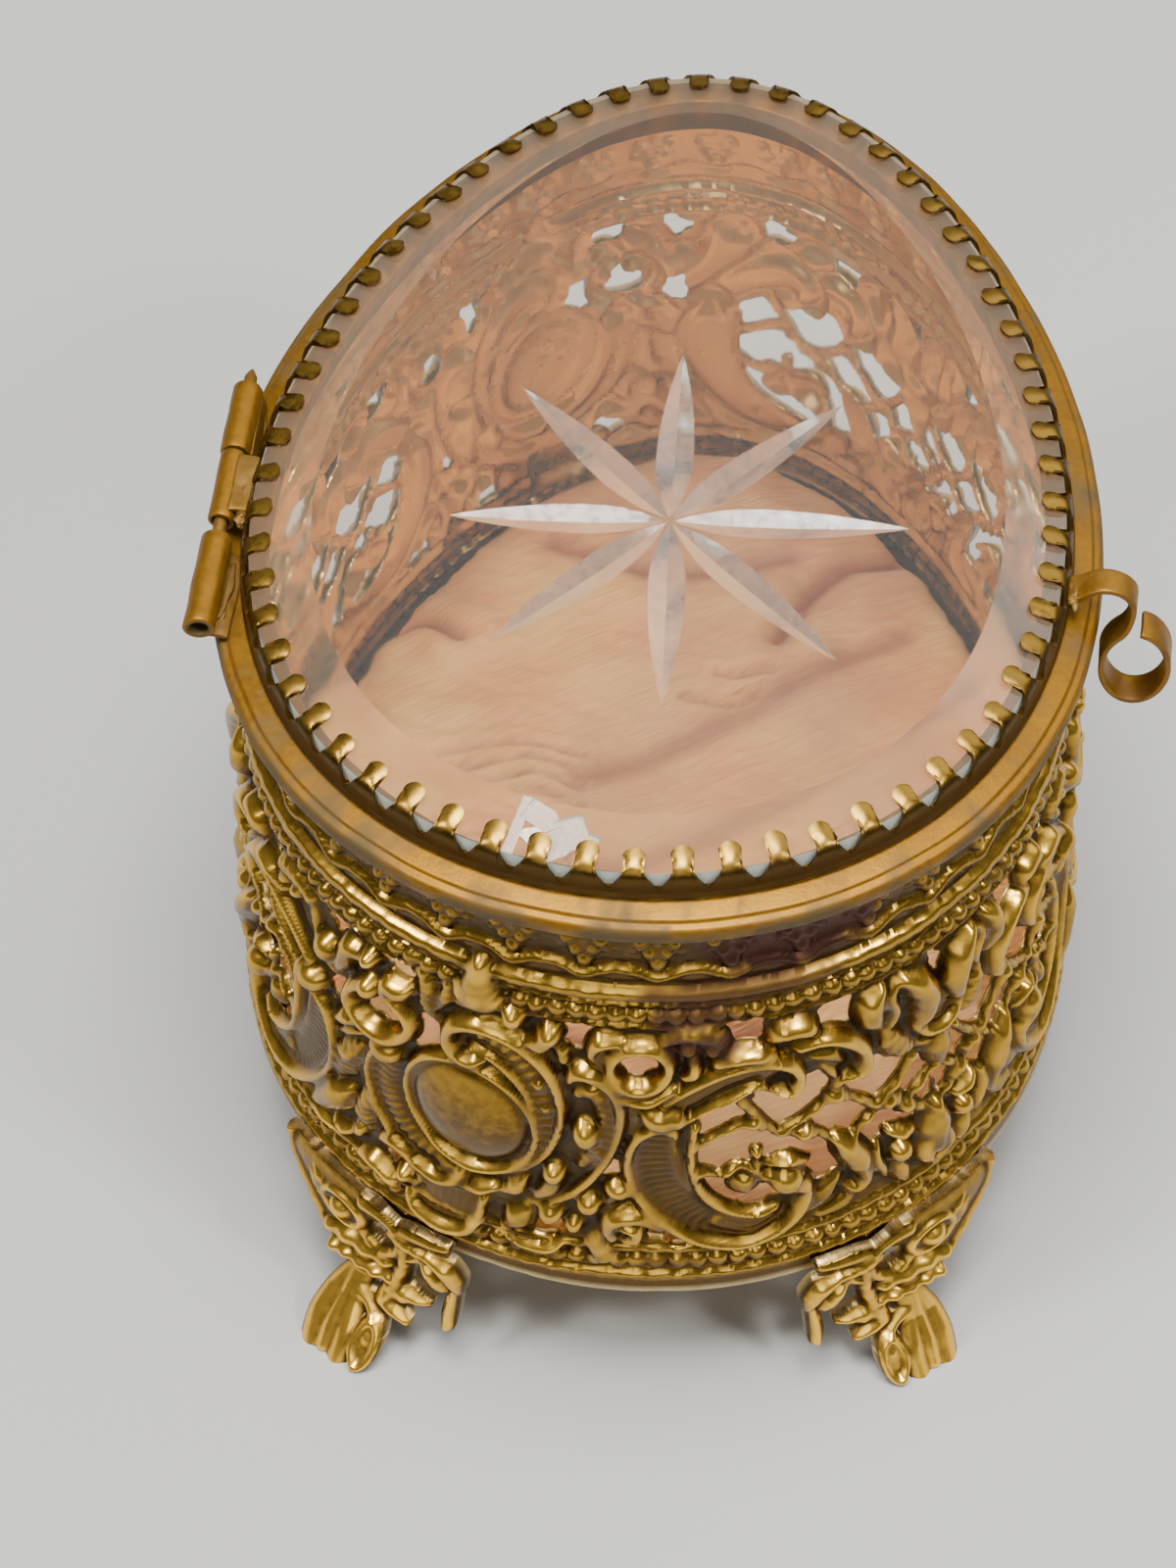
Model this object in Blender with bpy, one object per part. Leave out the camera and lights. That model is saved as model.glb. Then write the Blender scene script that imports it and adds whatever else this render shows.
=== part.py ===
"""Egg-shaped jewel casket of stamped gilt brass with a bevelled, star-cut glass lid.

Lengths in the tables below are millimetres; every mesh is made in metres.
Plan: the egg's long axis runs along Y, its narrow end at +Y, the hinge at -X and the
thumb pull at +X.  Z is up and the toes stand on Z = 0.
A "grow" value is a distance outwards from the bezel's outline, square to it.
"""

import math

import bmesh
import bpy
from mathutils import Matrix, Vector

MM = 0.001

# The plan: x = HALF_WIDTH cos(t) (1 - EGG sin(t)), y = HALF_LENGTH sin(t)
HALF_WIDTH = 33.1
HALF_LENGTH = 43.3
EGG = 0.182
RING_STEPS = 48

# Heights above the floor
PAN_UNDERSIDE = 13.9
PAN_SHEET = 0.6
PAN_GROW = 2.2
PAN_LIP_TOP = 15.9
GALLERY_BOTTOM = 16.2
GALLERY_TOP = 66.2
RIM_SEAT = 67.5
LID_BOTTOM = 67.8
GLASS_BOTTOM = 68.5
GLASS_EDGE_TOP = 70.1
GLASS_TOP = 71.0
BEZEL_TOP = 70.7

# The gallery strip: outer profile as (grow, height), bottom to top, then the plain inside
GALLERY_OUTSIDE = (
    (1.8, GALLERY_BOTTOM), (2.5, 16.7), (1.8, 17.2), (2.3, 18.3), (1.5, 20.9),
    (0.3, 50.5), (1.0, 51.9), (0.4, 54.0), (1.3, 55.4), (0.2, 56.8), (-0.4, 58.8), (-0.4, GALLERY_TOP),
)
OPENWORK_ROW = 4
GALLERY_INSIDE = ((-1.1, GALLERY_TOP), (-0.5, 51.0), (0.8, GALLERY_BOTTOM))

# The openwork repeats along the strip: a cartouche, then a trellis panel between two scrolls
REPEAT = 76.5
FIRST_CARTOUCHE = -12.0
CARTOUCHES = 3
STRIP_SEAM = 188.5
CARTOUCHE_HEIGHT = 35.5
CARTOUCHE_SIZE = (5.6, 6.4, 1.9)
CARTOUCHE_SINK = -0.4
TRELLIS_ROWS = (38.4, 34.5, 30.6)
TRELLIS_PITCH = 7.6
TRELLIS_REACH = 15.5
HOLE_HALF_WIDTH = 2.5
HOLE_HALF_HEIGHT = 2.6
HOLE_CUT_DEPTH = 8.0
SEAM_MARGIN = 4.0
SCROLL_FROM_CARTOUCHE = 21.5
SCROLL_HALF = (6.8, 9.2)
SCROLL_ANGLES = (80.0, 280.0)
SCROLL_HEIGHT = 31.0
SCROLL_TUBE = 0.75

# The mouth rim's cross-section, a rolled sheet 0.6 thick
RIM_SECTION = (
    (2.4, 65.2), (2.4, 66.3), (1.5, RIM_SEAT - 0.3), (-2.6, RIM_SEAT), (-2.6, 64.4),
    (-2.0, 64.4), (-2.0, 66.8), (0.9, 66.7), (1.8, 66.0), (1.8, 65.2),
)

# The bezel and its prongs
PRONGS = 62
BEZEL_SECTION = ((-1.9, LID_BOTTOM), (0.0, LID_BOTTOM), (0.0, BEZEL_TOP), (-0.45, BEZEL_TOP),
                 (-0.45, LID_BOTTOM + 0.4))
BEZEL_TOP_BAND = 3
PRONG_RISE = 0.45
PRONG_REACH = 1.8

# The glass: a bevel all round and eight cut rays
GLASS_GROW = -0.75
BEVEL_WIDTH = 5.0
STAR_CENTRE_Y = -7.8
STAR_RAY = 19.4
STAR_HALF_WIDTH = 1.8
STAR_WIDEST = 0.4
STAR_DEPTH = 0.5
STAR_RAYS = 8
STAR_TURN = 2.5
STAR_HUB = 0.3
CUTTER_RISE = 0.4

# Each foot's plan angle, and the side that its knee covers: 1 is counterclockwise of it
FOOT_PLACES = {
    "foot_front_left": (-118.0, -1),
    "foot_front_right": (-56.0, 1),
    "foot_back_right": (52.0, -1),
    "foot_back_left": (128.0, 1),
}
# A row is (height, grow of the front face, width on the wing's side, width on the knee's side)
FOOT_ROWS = (
    (16.0, 3.7, 5.6, 10.2), (14.6, 4.2, 7.2, 10.4), (12.2, 4.6, 7.4, 8.4), (9.4, 4.8, 2.8, 5.4),
    (6.8, 5.4, 2.2, 3.6), (2.6, 7.8, 3.0, 3.4), (0.0, 9.6, 2.8, 3.2),
)
FOOT_SHEET = 1.0
TOE_SHEET = 1.5
ANKLE_HEIGHT = 9.4
FOOT_COLUMNS = 6
FOOT_RIDGE = 0.5
BACK_RIDGE = 0.3
WING_WIDTH = 7.0
WING_DROP = 4.0

# The hinge
HINGE_X = -35.3
HINGE_Y = -7.8
HINGE_Z = 69.2
KNUCKLE_RADIUS = 1.3
LID_KNUCKLE_RADIUS = 1.1
KNUCKLE_BORE = 0.7
PIN_RADIUS = 0.55
KNUCKLES = {"hinge_knuckle_near": (-14.1, -4.7), "hinge_knuckle_far": (4.4, 11.4)}
LID_KNUCKLE = (-2.9, 4.1)
PIN_ENDS = (-12.0, 12.8)
TUBE_SIDES = 16

# The thumb pull: a strip along X that arches over the rim and curls into an oval loop
PULL_Y = -10.0
PULL_WIDTH = 2.65
PULL_SHEET = 0.5
ARCH_CENTRE = (36.55, 68.3)
ARCH_RADIUS = 2.6
ARCH_ANGLES = (160.0, 0.0)
ARCH_STEPS = 7
LOOP_CENTRE = (39.3, 61.3)
LOOP_HALF = (3.0, 4.55)
LOOP_ANGLES = (112.0, 445.0)
LOOP_STEPS = 16

# The silk pad
PAD_SECTION = ((-2.0, 14.8), (-1.0, 16.2), (-2.4, 18.3), (-9.0, 19.8))


def clear_scene():
    """Remove what the scene starts with."""
    for thing in list(bpy.data.objects):
        bpy.data.objects.remove(thing, do_unlink=True)


def metal(name, colour, roughness):
    """A brass or gilt material."""
    material = bpy.data.materials.new(name)
    material.use_nodes = True
    shader = material.node_tree.nodes["Principled BSDF"]
    shader.inputs["Base Color"].default_value = (*colour, 1.0)
    shader.inputs["Metallic"].default_value = 1.0
    shader.inputs["Roughness"].default_value = roughness
    return material


def plain(name, colour, roughness, alpha=1.0):
    """A material that isn't metal."""
    material = metal(name, colour, roughness)
    shader = material.node_tree.nodes["Principled BSDF"]
    shader.inputs["Metallic"].default_value = 0.0
    shader.inputs["Alpha"].default_value = alpha
    return material


def outline(t, grow):
    """The plan point at parameter t, moved outwards by grow; in millimetres."""
    cos_t = math.cos(t)
    sin_t = math.sin(t)
    point = Vector((HALF_WIDTH * cos_t * (1.0 - EGG * sin_t), HALF_LENGTH * sin_t))
    along = Vector((-HALF_WIDTH * (sin_t + EGG * math.cos(2.0 * t)), HALF_LENGTH * cos_t)).normalized()
    return point + grow * Vector((along.y, -along.x)), along


def arc_table(steps=720):
    """Arc length from the near end against t, round the whole plan."""
    table = [(0.0, -math.pi / 2.0)]
    last, _ = outline(-math.pi / 2.0, 1.0)
    for step in range(1, steps + 1):
        t = -math.pi / 2.0 + 2.0 * math.pi * step / steps
        point, _ = outline(t, 1.0)
        table.append((table[-1][0] + (point - last).length, t))
        last = point
    return table


ARC = arc_table()


def strip_t(distance):
    """The parameter t at a distance along the strip, measured from the near end towards +X."""
    distance %= ARC[-1][0]
    for (low, t_low), (high, t_high) in zip(ARC, ARC[1:]):
        if distance <= high:
            return t_low + (t_high - t_low) * (distance - low) / (high - low)
    return ARC[-1][1]


def finish(name, bm, material, parent, smooth_angle=35.0):
    """Turn a bmesh in millimetres into a named, shaded object under its body."""
    bmesh.ops.scale(bm, vec=(MM, MM, MM), verts=bm.verts)
    bmesh.ops.recalc_face_normals(bm, faces=bm.faces)
    mesh = bpy.data.meshes.new(name)
    bm.to_mesh(mesh)
    bm.free()
    mesh.materials.append(material)
    mesh.shade_smooth()
    mesh.set_sharp_from_angle(angle=math.radians(smooth_angle))
    thing = bpy.data.objects.new(name, mesh)
    bpy.context.collection.objects.link(thing)
    thing.parent = parent
    thing.location = -parent.location
    return thing


def plan_loop(bm, grow, height, steps):
    """A loop of vertices round the plan."""
    loop = []
    for step in range(steps):
        point, _ = outline(2.0 * math.pi * step / steps, grow)
        loop.append(bm.verts.new((point.x, point.y, height)))
    return loop


def bridge(bm, lower, upper):
    """Join two equal closed loops with quads."""
    faces = []
    count = len(lower)
    for index in range(count):
        after = (index + 1) % count
        faces.append(bm.faces.new((lower[index], lower[after], upper[after], upper[index])))
    return faces


def ring_solid(section, steps):
    """A closed ring round the plan from a closed cross-section, with its bands of faces."""
    bm = bmesh.new()
    loops = [plan_loop(bm, grow, height, steps) for grow, height in section]
    bands = [bridge(bm, loops[index - 1], loops[index]) for index in range(len(loops))]
    return bm, bands


def slab_solid(section, steps):
    """A closed slab over the whole plan; its section runs from the underside out and over to the top."""
    bm = bmesh.new()
    loops = [plan_loop(bm, grow, height, steps) for grow, height in section]
    for lower, upper in zip(loops, loops[1:]):
        bridge(bm, lower, upper)
    bm.faces.new(loops[0])
    bm.faces.new(loops[-1])
    return bm


def wall_frame(distance, height, grow=1.0):
    """A matrix at a place on the strip: X along it, Y up it, Z outwards."""
    point, along = outline(strip_t(distance), grow)
    out = Vector((along.y, -along.x, 0.0))
    side = Vector((along.x, along.y, 0.0))
    turn = Matrix((side, Vector((0.0, 0.0, 1.0)), out)).transposed().to_4x4()
    return Matrix.Translation((point.x, point.y, height)) @ turn


def openwork_grow(height):
    """How far the openwork's face is grown at a height; it leans out a little towards the foot."""
    low_grow, low_height = GALLERY_OUTSIDE[OPENWORK_ROW]
    high_grow, high_height = GALLERY_OUTSIDE[OPENWORK_ROW + 1]
    return low_grow + (high_grow - low_grow) * (height - low_height) / (high_height - low_height)


def panel_centres():
    """Where the trellis panels' middles lie along the strip, both sides of the seam."""
    return [FIRST_CARTOUCHE + REPEAT * (index + 0.5) for index in range(CARTOUCHES)]


def trellis_holes():
    """The middle of each trellis hole as (distance, height), on the strip's own side of the seam."""
    length = ARC[-1][0]
    holes = []
    for centre, low, high in (
        *((middle, 0.0, STRIP_SEAM - SEAM_MARGIN) for middle in panel_centres()),
        (FIRST_CARTOUCHE + length - REPEAT / 2.0, STRIP_SEAM + SEAM_MARGIN, length),
    ):
        for row, height in enumerate(TRELLIS_ROWS):
            shift = 0.5 * (row % 2)
            for column in range(-2, 3):
                place = (column + shift) * TRELLIS_PITCH
                if abs(place) < TRELLIS_REACH and low < centre + place < high:
                    holes.append((centre + place, height))
    return holes


def hole_cutter():
    """Six-sided prisms through the strip, one for each hole of the trellis."""
    bm = bmesh.new()
    for distance, height in trellis_holes():
        corner_up = Matrix.Rotation(math.pi / 2.0, 4, "Z")
        shape = Matrix.Diagonal((HOLE_HALF_WIDTH, HOLE_HALF_HEIGHT, 1.0, 1.0)) @ corner_up
        bmesh.ops.create_cone(bm, cap_ends=True, segments=6, radius1=1.0, radius2=1.0, depth=HOLE_CUT_DEPTH,
                              matrix=wall_frame(distance, height) @ shape)
    return bm


def raised_work():
    """Cartouche bosses and the big scrolls either side of them, to be joined to the strip."""
    bosses = []
    for index in range(CARTOUCHES):
        middle = FIRST_CARTOUCHE + REPEAT * index
        bm = bmesh.new()
        bmesh.ops.create_uvsphere(bm, u_segments=10, v_segments=6, radius=1.0)
        lift = Matrix.Translation((0.0, 0.0, CARTOUCHE_SINK))
        size = Matrix.Diagonal((*CARTOUCHE_SIZE, 1.0))
        bmesh.ops.transform(bm, matrix=wall_frame(middle, CARTOUCHE_HEIGHT) @ lift @ size, verts=bm.verts)
        bosses.append(bm)
        for side in (-1.0, 1.0):
            bosses.append(scroll_rib(middle + side * SCROLL_FROM_CARTOUCHE, side))
    return bosses


def scroll_rib(distance, side, steps=7, sides=4):
    """A C-shaped rib that lies on the strip, its back towards the cartouche."""
    bm = bmesh.new()
    loops = []
    for step in range(steps + 1):
        angle = math.radians(SCROLL_ANGLES[0] + (SCROLL_ANGLES[1] - SCROLL_ANGLES[0]) * step / steps)
        across = side * SCROLL_HALF[0] * math.cos(angle)
        height = SCROLL_HEIGHT + SCROLL_HALF[1] * math.sin(angle)
        frame = wall_frame(distance + across, height, openwork_grow(height))
        loop = []
        for corner in range(sides):
            spin = 2.0 * math.pi * corner / sides
            radial = Vector((side * math.cos(angle), math.sin(angle), 0.0)) * (SCROLL_TUBE * math.cos(spin))
            loop.append(bm.verts.new(frame @ (radial + Vector((0.0, 0.0, SCROLL_TUBE * math.sin(spin))))))
        loops.append(loop)
    for lower, upper in zip(loops, loops[1:]):
        bridge(bm, lower, upper)
    bm.faces.new(loops[0])
    bm.faces.new(loops[-1])
    return bm


def boolean(target, tool, operation):
    """Add an exact Boolean and keep its tool out of sight."""
    tool.hide_render = True
    tool.display_type = "WIRE"
    modifier = target.modifiers.new(tool.name, "BOOLEAN")
    modifier.operation = operation
    modifier.solver = "EXACT"
    modifier.object = tool
    return modifier


def make_gallery(gilt, body):
    """The pierced side strip with its mouldings, bosses and scrolls."""
    bm, _ = ring_solid(GALLERY_OUTSIDE + GALLERY_INSIDE, RING_STEPS)
    gallery = finish("gallery_band", bm, gilt, body)
    for index, shape in enumerate(raised_work()):
        boolean(gallery, finish(f"raised_work_{index}", shape, gilt, body), "UNION")
    boolean(gallery, finish("trellis_cutter", hole_cutter(), gilt, body), "DIFFERENCE")
    return gallery


def make_pan(gilt, body):
    """The floor with its small upturned lip."""
    lip = PAN_GROW - PAN_SHEET
    floor = PAN_UNDERSIDE + PAN_SHEET
    section = ((PAN_GROW, PAN_UNDERSIDE), (PAN_GROW, PAN_LIP_TOP), (lip, PAN_LIP_TOP), (lip, floor))
    finish("base_pan", slab_solid(section, RING_STEPS), gilt, body)


def make_rim(gilt, body):
    """The rolled band round the mouth."""
    bm, _ = ring_solid(RIM_SECTION, RING_STEPS)
    finish("mouth_rim", bm, gilt, body)


def make_bezel(gilt, body):
    """The ribbon that holds the glass; on every other step a prong rises and bends in over the bevel."""
    steps = 2 * PRONGS
    bm, bands = ring_solid(BEZEL_SECTION, steps)
    top_band = bands[BEZEL_TOP_BAND]
    for index in range(0, steps, 2):
        face = top_band[index]
        inwards = -face.calc_center_median().xy.normalized().to_3d()
        raised = bmesh.ops.extrude_discrete_faces(bm, faces=[face])["faces"][0]
        bmesh.ops.translate(bm, verts=raised.verts, vec=(0.0, 0.0, PRONG_RISE))
        sides = [side for edge in raised.edges for side in edge.link_faces if side is not raised]
        for side in sides:
            side.normal_update()
        inner = max(sides, key=lambda side: side.normal.dot(inwards))
        tip = bmesh.ops.extrude_discrete_faces(bm, faces=[inner])["faces"][0]
        bmesh.ops.translate(bm, verts=tip.verts, vec=inwards * PRONG_REACH)
    finish("lid_bezel", bm, gilt, body)


def ray_cutter():
    """Eight long lozenges, each cut to a V, that meet at the star's centre."""
    bm = bmesh.new()
    wide = STAR_WIDEST * STAR_RAY
    half = STAR_HALF_WIDTH * (1.0 + CUTTER_RISE / STAR_DEPTH)
    corners = ((STAR_HUB, 0.0), (wide, -half), (STAR_RAY, 0.0), (wide, half))
    centre = Vector((0.0, STAR_CENTRE_Y, GLASS_TOP))
    for ray in range(STAR_RAYS):
        turn = Matrix.Rotation(2.0 * math.pi * ray / STAR_RAYS + math.radians(STAR_TURN), 3, "Z")
        top = [bm.verts.new(centre + turn @ Vector((x, y, CUTTER_RISE))) for x, y in corners]
        deep = bm.verts.new(centre + turn @ Vector((wide, 0.0, -STAR_DEPTH)))
        bm.faces.new(top)
        for index in range(4):
            bm.faces.new((top[index], top[(index + 1) % 4], deep))
    return bm


def make_glass(glass, body):
    """The bevelled plate with its star."""
    inner = GLASS_GROW - BEVEL_WIDTH
    section = ((GLASS_GROW, GLASS_BOTTOM), (GLASS_GROW, GLASS_EDGE_TOP), (inner, GLASS_TOP))
    plate = finish("lid_glass", slab_solid(section, RING_STEPS), glass, body, smooth_angle=5.0)
    boolean(plate, finish("star_cutter", ray_cutter(), glass, body), "DIFFERENCE")


def foot_point(distance, row, column, sheet, knee_side):
    """A point of a foot's front face, or of its back face when sheet is its thickness."""
    height, grow, wing_width, knee_width = row
    across = 2.0 * column / FOOT_COLUMNS - 1.0
    on_wing = across * knee_side < 0.0
    if on_wing and wing_width > WING_WIDTH:
        height -= WING_DROP * abs(across) ** 3
    crown = FOOT_RIDGE * (1.0 - across * across) * (1.0 if sheet == 0.0 else BACK_RIDGE)
    width = wing_width if on_wing else knee_width
    point, _ = outline(strip_t(distance + across * width), grow - sheet + crown)
    return point.x, point.y, height


def make_foot(name, gilt, body):
    """A rocaille foot: a bracket with a drooping wing and a smooth knee, an ankle and a spreading toe."""
    angle, knee_side = FOOT_PLACES[name]
    t = math.radians(angle)
    distance = min(ARC, key=lambda entry: abs(math.remainder(entry[1] - t, 2.0 * math.pi)))[0]
    bm = bmesh.new()
    fronts = []
    backs = []
    columns = range(FOOT_COLUMNS + 1)
    for row in FOOT_ROWS:
        thinning = min(row[0] / ANKLE_HEIGHT, 1.0)
        sheet = TOE_SHEET + (FOOT_SHEET - TOE_SHEET) * thinning
        fronts.append([bm.verts.new(foot_point(distance, row, column, 0.0, knee_side)) for column in columns])
        backs.append([bm.verts.new(foot_point(distance, row, column, sheet, knee_side)) for column in columns])
    edges = [front + back[::-1] for front, back in zip(fronts, backs)]
    for upper, lower in zip(edges, edges[1:]):
        bridge(bm, upper, lower)
    for end in (0, -1):
        for column in range(FOOT_COLUMNS):
            front = fronts[end]
            back = backs[end]
            bm.faces.new((front[column], front[column + 1], back[column + 1], back[column]))
    finish(name, bm, gilt, body)


def tube(radius, bore, low, high):
    """A tube along Y on the hinge's axis."""
    bm = bmesh.new()
    rings = []
    for reach, y in ((radius, low), (radius, high), (bore, high), (bore, low)):
        ring = []
        for side in range(TUBE_SIDES):
            angle = 2.0 * math.pi * side / TUBE_SIDES
            x = HINGE_X + reach * math.cos(angle)
            ring.append(bm.verts.new((x, y + HINGE_Y, HINGE_Z + reach * math.sin(angle))))
        rings.append(ring)
    for index in range(4):
        bridge(bm, rings[index - 1], rings[index])
    return bm


def rod(radius, low, high):
    """A solid rod along Y on the hinge's axis."""
    bm = bmesh.new()
    middle = Vector((HINGE_X, (low + high) / 2.0 + HINGE_Y, HINGE_Z))
    matrix = Matrix.Translation(middle) @ Matrix.Rotation(-math.pi / 2.0, 4, "X")
    bmesh.ops.create_cone(bm, cap_ends=True, segments=TUBE_SIDES, radius1=radius, radius2=radius,
                          depth=high - low, matrix=matrix)
    return bm


def make_hinge(gilt, box, lid):
    """Three knuckles in a line and the pin through them."""
    for name, (low, high) in KNUCKLES.items():
        finish(name, tube(KNUCKLE_RADIUS, KNUCKLE_BORE, low, high), gilt, box)
    finish("hinge_knuckle_lid", tube(LID_KNUCKLE_RADIUS, KNUCKLE_BORE, *LID_KNUCKLE), gilt, lid)
    finish("hinge_pin", rod(PIN_RADIUS, *PIN_ENDS), gilt, box)


def arc_points(centre, half, angles, steps):
    """Points along an elliptical arc in the XZ plane, both ends included."""
    points = []
    for step in range(steps + 1):
        angle = math.radians(angles[0] + (angles[1] - angles[0]) * step / steps)
        x = centre[0] + half[0] * math.cos(angle)
        points.append(Vector((x, centre[1] + half[1] * math.sin(angle))))
    return points


def pull_path():
    """The strip's centre line as (x, z): over the rim, down, and round the open loop."""
    arch = arc_points(ARCH_CENTRE, (ARCH_RADIUS, ARCH_RADIUS), ARCH_ANGLES, ARCH_STEPS)
    return arch + arc_points(LOOP_CENTRE, LOOP_HALF, LOOP_ANGLES, LOOP_STEPS)


def make_pull(gilt, body):
    """The curled thumb pull, a flat strip of constant width."""
    path = pull_path()
    bm = bmesh.new()
    loops = []
    for index, point in enumerate(path):
        before = path[max(index - 1, 0)]
        after = path[min(index + 1, len(path) - 1)]
        along = (after - before).normalized()
        side = Vector((-along.y, along.x)) * (PULL_SHEET / 2.0)
        loop = []
        for offset, y in ((side, 0.5), (side, -0.5), (-side, -0.5), (-side, 0.5)):
            place = point + offset
            loop.append(bm.verts.new((place.x, PULL_Y + y * PULL_WIDTH, place.y)))
        loops.append(loop)
    for lower, upper in zip(loops, loops[1:]):
        bridge(bm, lower, upper)
    bm.faces.new(loops[0])
    bm.faces.new(loops[-1])
    finish("thumb_pull", bm, gilt, body)


def body_empty(name, location):
    """An empty that carries the pieces of one moving body."""
    empty = bpy.data.objects.new(name, None)
    empty.location = Vector(location) * MM
    bpy.context.collection.objects.link(empty)
    return empty


def centre_on_origin(root):
    """Slide the whole casket in X and Y until its bounding box is centred on the origin."""
    bpy.context.view_layer.update()
    corners = []
    for thing in bpy.data.objects:
        if thing.type == "MESH" and not thing.hide_render:
            corners.extend(thing.matrix_world @ vert.co for vert in thing.data.vertices)
    for axis in (0, 1):
        values = [corner[axis] for corner in corners]
        root.location[axis] -= (min(values) + max(values)) / 2.0


def main():
    clear_scene()
    gilt = metal("gilt_brass", (0.48, 0.30, 0.08), 0.35)
    worn = metal("worn_gilt_brass", (0.42, 0.27, 0.09), 0.45)
    glass = plain("clear_glass", (0.92, 0.95, 0.93), 0.03, 0.35)
    silk = plain("peach_silk", (0.60, 0.33, 0.25), 0.5)
    casket = body_empty("casket", (0.0, 0.0, 0.0))
    box = body_empty("casket_box", (0.0, 0.0, 0.0))
    lid = body_empty("casket_lid", (HINGE_X, HINGE_Y, HINGE_Z))
    box.parent = casket
    lid.parent = casket
    make_gallery(gilt, box)
    make_pan(worn, box)
    make_rim(worn, box)
    for name in FOOT_PLACES:
        make_foot(name, gilt, box)
    finish("silk_pad", slab_solid(PAD_SECTION, RING_STEPS), silk, box)
    make_bezel(gilt, lid)
    make_glass(glass, lid)
    make_hinge(worn, box, lid)
    make_pull(worn, lid)
    centre_on_origin(casket)


main()
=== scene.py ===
"""Egg-shaped jewel casket of stamped gilt brass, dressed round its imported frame.

The classes hold their sizes in millimetres, in the plan's own frame: the egg's centre is the
origin, its narrow end points along +Y, the hinge is at -X and the thumb pull at +X.  A "grow"
is a distance outwards from the bezel's outline.  `Plan` turns all of that into metres.
"""

from __future__ import annotations

import logging
import math
from collections.abc import Callable, Iterator, Mapping, Sequence
from contextlib import contextmanager
from dataclasses import dataclass, field
from enum import Enum
from functools import cache, partial
from typing import Any

import bpy
import numpy as np
from mathutils import Matrix, Vector


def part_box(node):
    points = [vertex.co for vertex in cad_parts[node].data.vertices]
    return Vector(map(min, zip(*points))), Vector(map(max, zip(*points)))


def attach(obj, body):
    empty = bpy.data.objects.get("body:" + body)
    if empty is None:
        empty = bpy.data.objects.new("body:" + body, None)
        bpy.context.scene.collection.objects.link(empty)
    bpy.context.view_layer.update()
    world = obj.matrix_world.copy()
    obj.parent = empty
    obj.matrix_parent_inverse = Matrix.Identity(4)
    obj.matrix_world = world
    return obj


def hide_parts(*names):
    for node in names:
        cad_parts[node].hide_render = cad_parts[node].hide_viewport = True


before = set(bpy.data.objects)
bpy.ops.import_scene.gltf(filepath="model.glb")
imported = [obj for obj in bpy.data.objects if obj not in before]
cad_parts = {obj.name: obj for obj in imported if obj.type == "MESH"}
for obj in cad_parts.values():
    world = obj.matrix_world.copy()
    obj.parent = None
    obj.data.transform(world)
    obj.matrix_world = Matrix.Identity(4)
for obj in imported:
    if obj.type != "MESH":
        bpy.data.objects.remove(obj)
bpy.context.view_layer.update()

LOG = logging.getLogger("casket")
MM = 0.001
FULL_TURN = 2.0 * math.pi
SAME_PLACE = 1e-7

Point = tuple[float, float]
Place = tuple[float, float, float]
Area = tuple[slice, slice]


class Body(Enum):
    """The bodies of the frame that a piece can ride on."""

    BOX = "box"
    LID = "lid"


class Slot(Enum):
    """The finishes that the record names."""

    GILT = "gilt_brass"
    WORN = "worn_gilt_brass"
    GLASS = "clear_glass"
    SILK = "peach_silk"


class Chase(Enum):
    """How a chased stroke is rounded across its width."""

    ROUND = "round"
    GUTTER = "gutter"
    LEAF = "leaf"
    ROPE = "rope"
    SHELL = "shell"


def quiet_selection() -> None:
    """Leave edit mode and deselect everything."""
    if bpy.context.object and bpy.context.object.mode != "OBJECT":
        bpy.ops.object.mode_set(mode="OBJECT")
    bpy.ops.object.select_all(action="DESELECT")


def take(thing: bpy.types.Object) -> None:
    """Make one object the only selected and the active one."""
    quiet_selection()
    thing.select_set(True)
    bpy.context.view_layer.objects.active = thing


def named(name: str) -> bpy.types.Object:
    """Give the active object and its mesh a name."""
    thing = bpy.context.object
    thing.name = name
    thing.data.name = name
    return thing


def start(name: str, primitive: Callable[..., Any], **settings: Any) -> bpy.types.Object:
    """Add the primitive that a piece starts from, selected alone.

    Args:
        name: The piece's name.
        primitive: The operator that adds it.
        settings: The operator's settings.

    Returns:
        The new object.
    """
    quiet_selection()
    primitive(**settings)
    return named(name)


@contextmanager
def editing(thing: bpy.types.Object) -> Iterator[None]:
    """Work on an object in edit mode, with all of its mesh selected at the start."""
    take(thing)
    bpy.ops.object.mode_set(mode="EDIT")
    bpy.ops.mesh.select_all(action="SELECT")
    yield
    bpy.ops.object.mode_set(mode="OBJECT")


def apply_modifier(thing: bpy.types.Object, kind: str, **settings: Any) -> None:
    """Add a modifier and apply it at once.

    Args:
        thing: The object to change.
        kind: The modifier's type.
        settings: Its properties.
    """
    take(thing)
    modifier = thing.modifiers.new(kind.title(), kind)
    for name, value in settings.items():
        setattr(modifier, name, value)
    bpy.ops.object.modifier_apply(modifier=modifier.name)


def points_of(thing: bpy.types.Object) -> np.ndarray:
    """The mesh's vertices, one row each."""
    flat = np.empty(len(thing.data.vertices) * 3)
    thing.data.vertices.foreach_get("co", flat)
    return flat.reshape(-1, 3)


def move_points(thing: bpy.types.Object, points: np.ndarray) -> None:
    """Put the mesh's vertices at new places."""
    thing.data.vertices.foreach_set("co", np.ascontiguousarray(points, float).ravel())
    thing.data.update()


def paint(thing: bpy.types.Object, name: str, values: np.ndarray) -> None:
    """Store a number for each vertex, for a finish to read."""
    layer = thing.data.attributes.get(name) or thing.data.attributes.new(name, "FLOAT", "POINT")
    layer.data.foreach_set("value", np.ascontiguousarray(values, np.float32))


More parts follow.
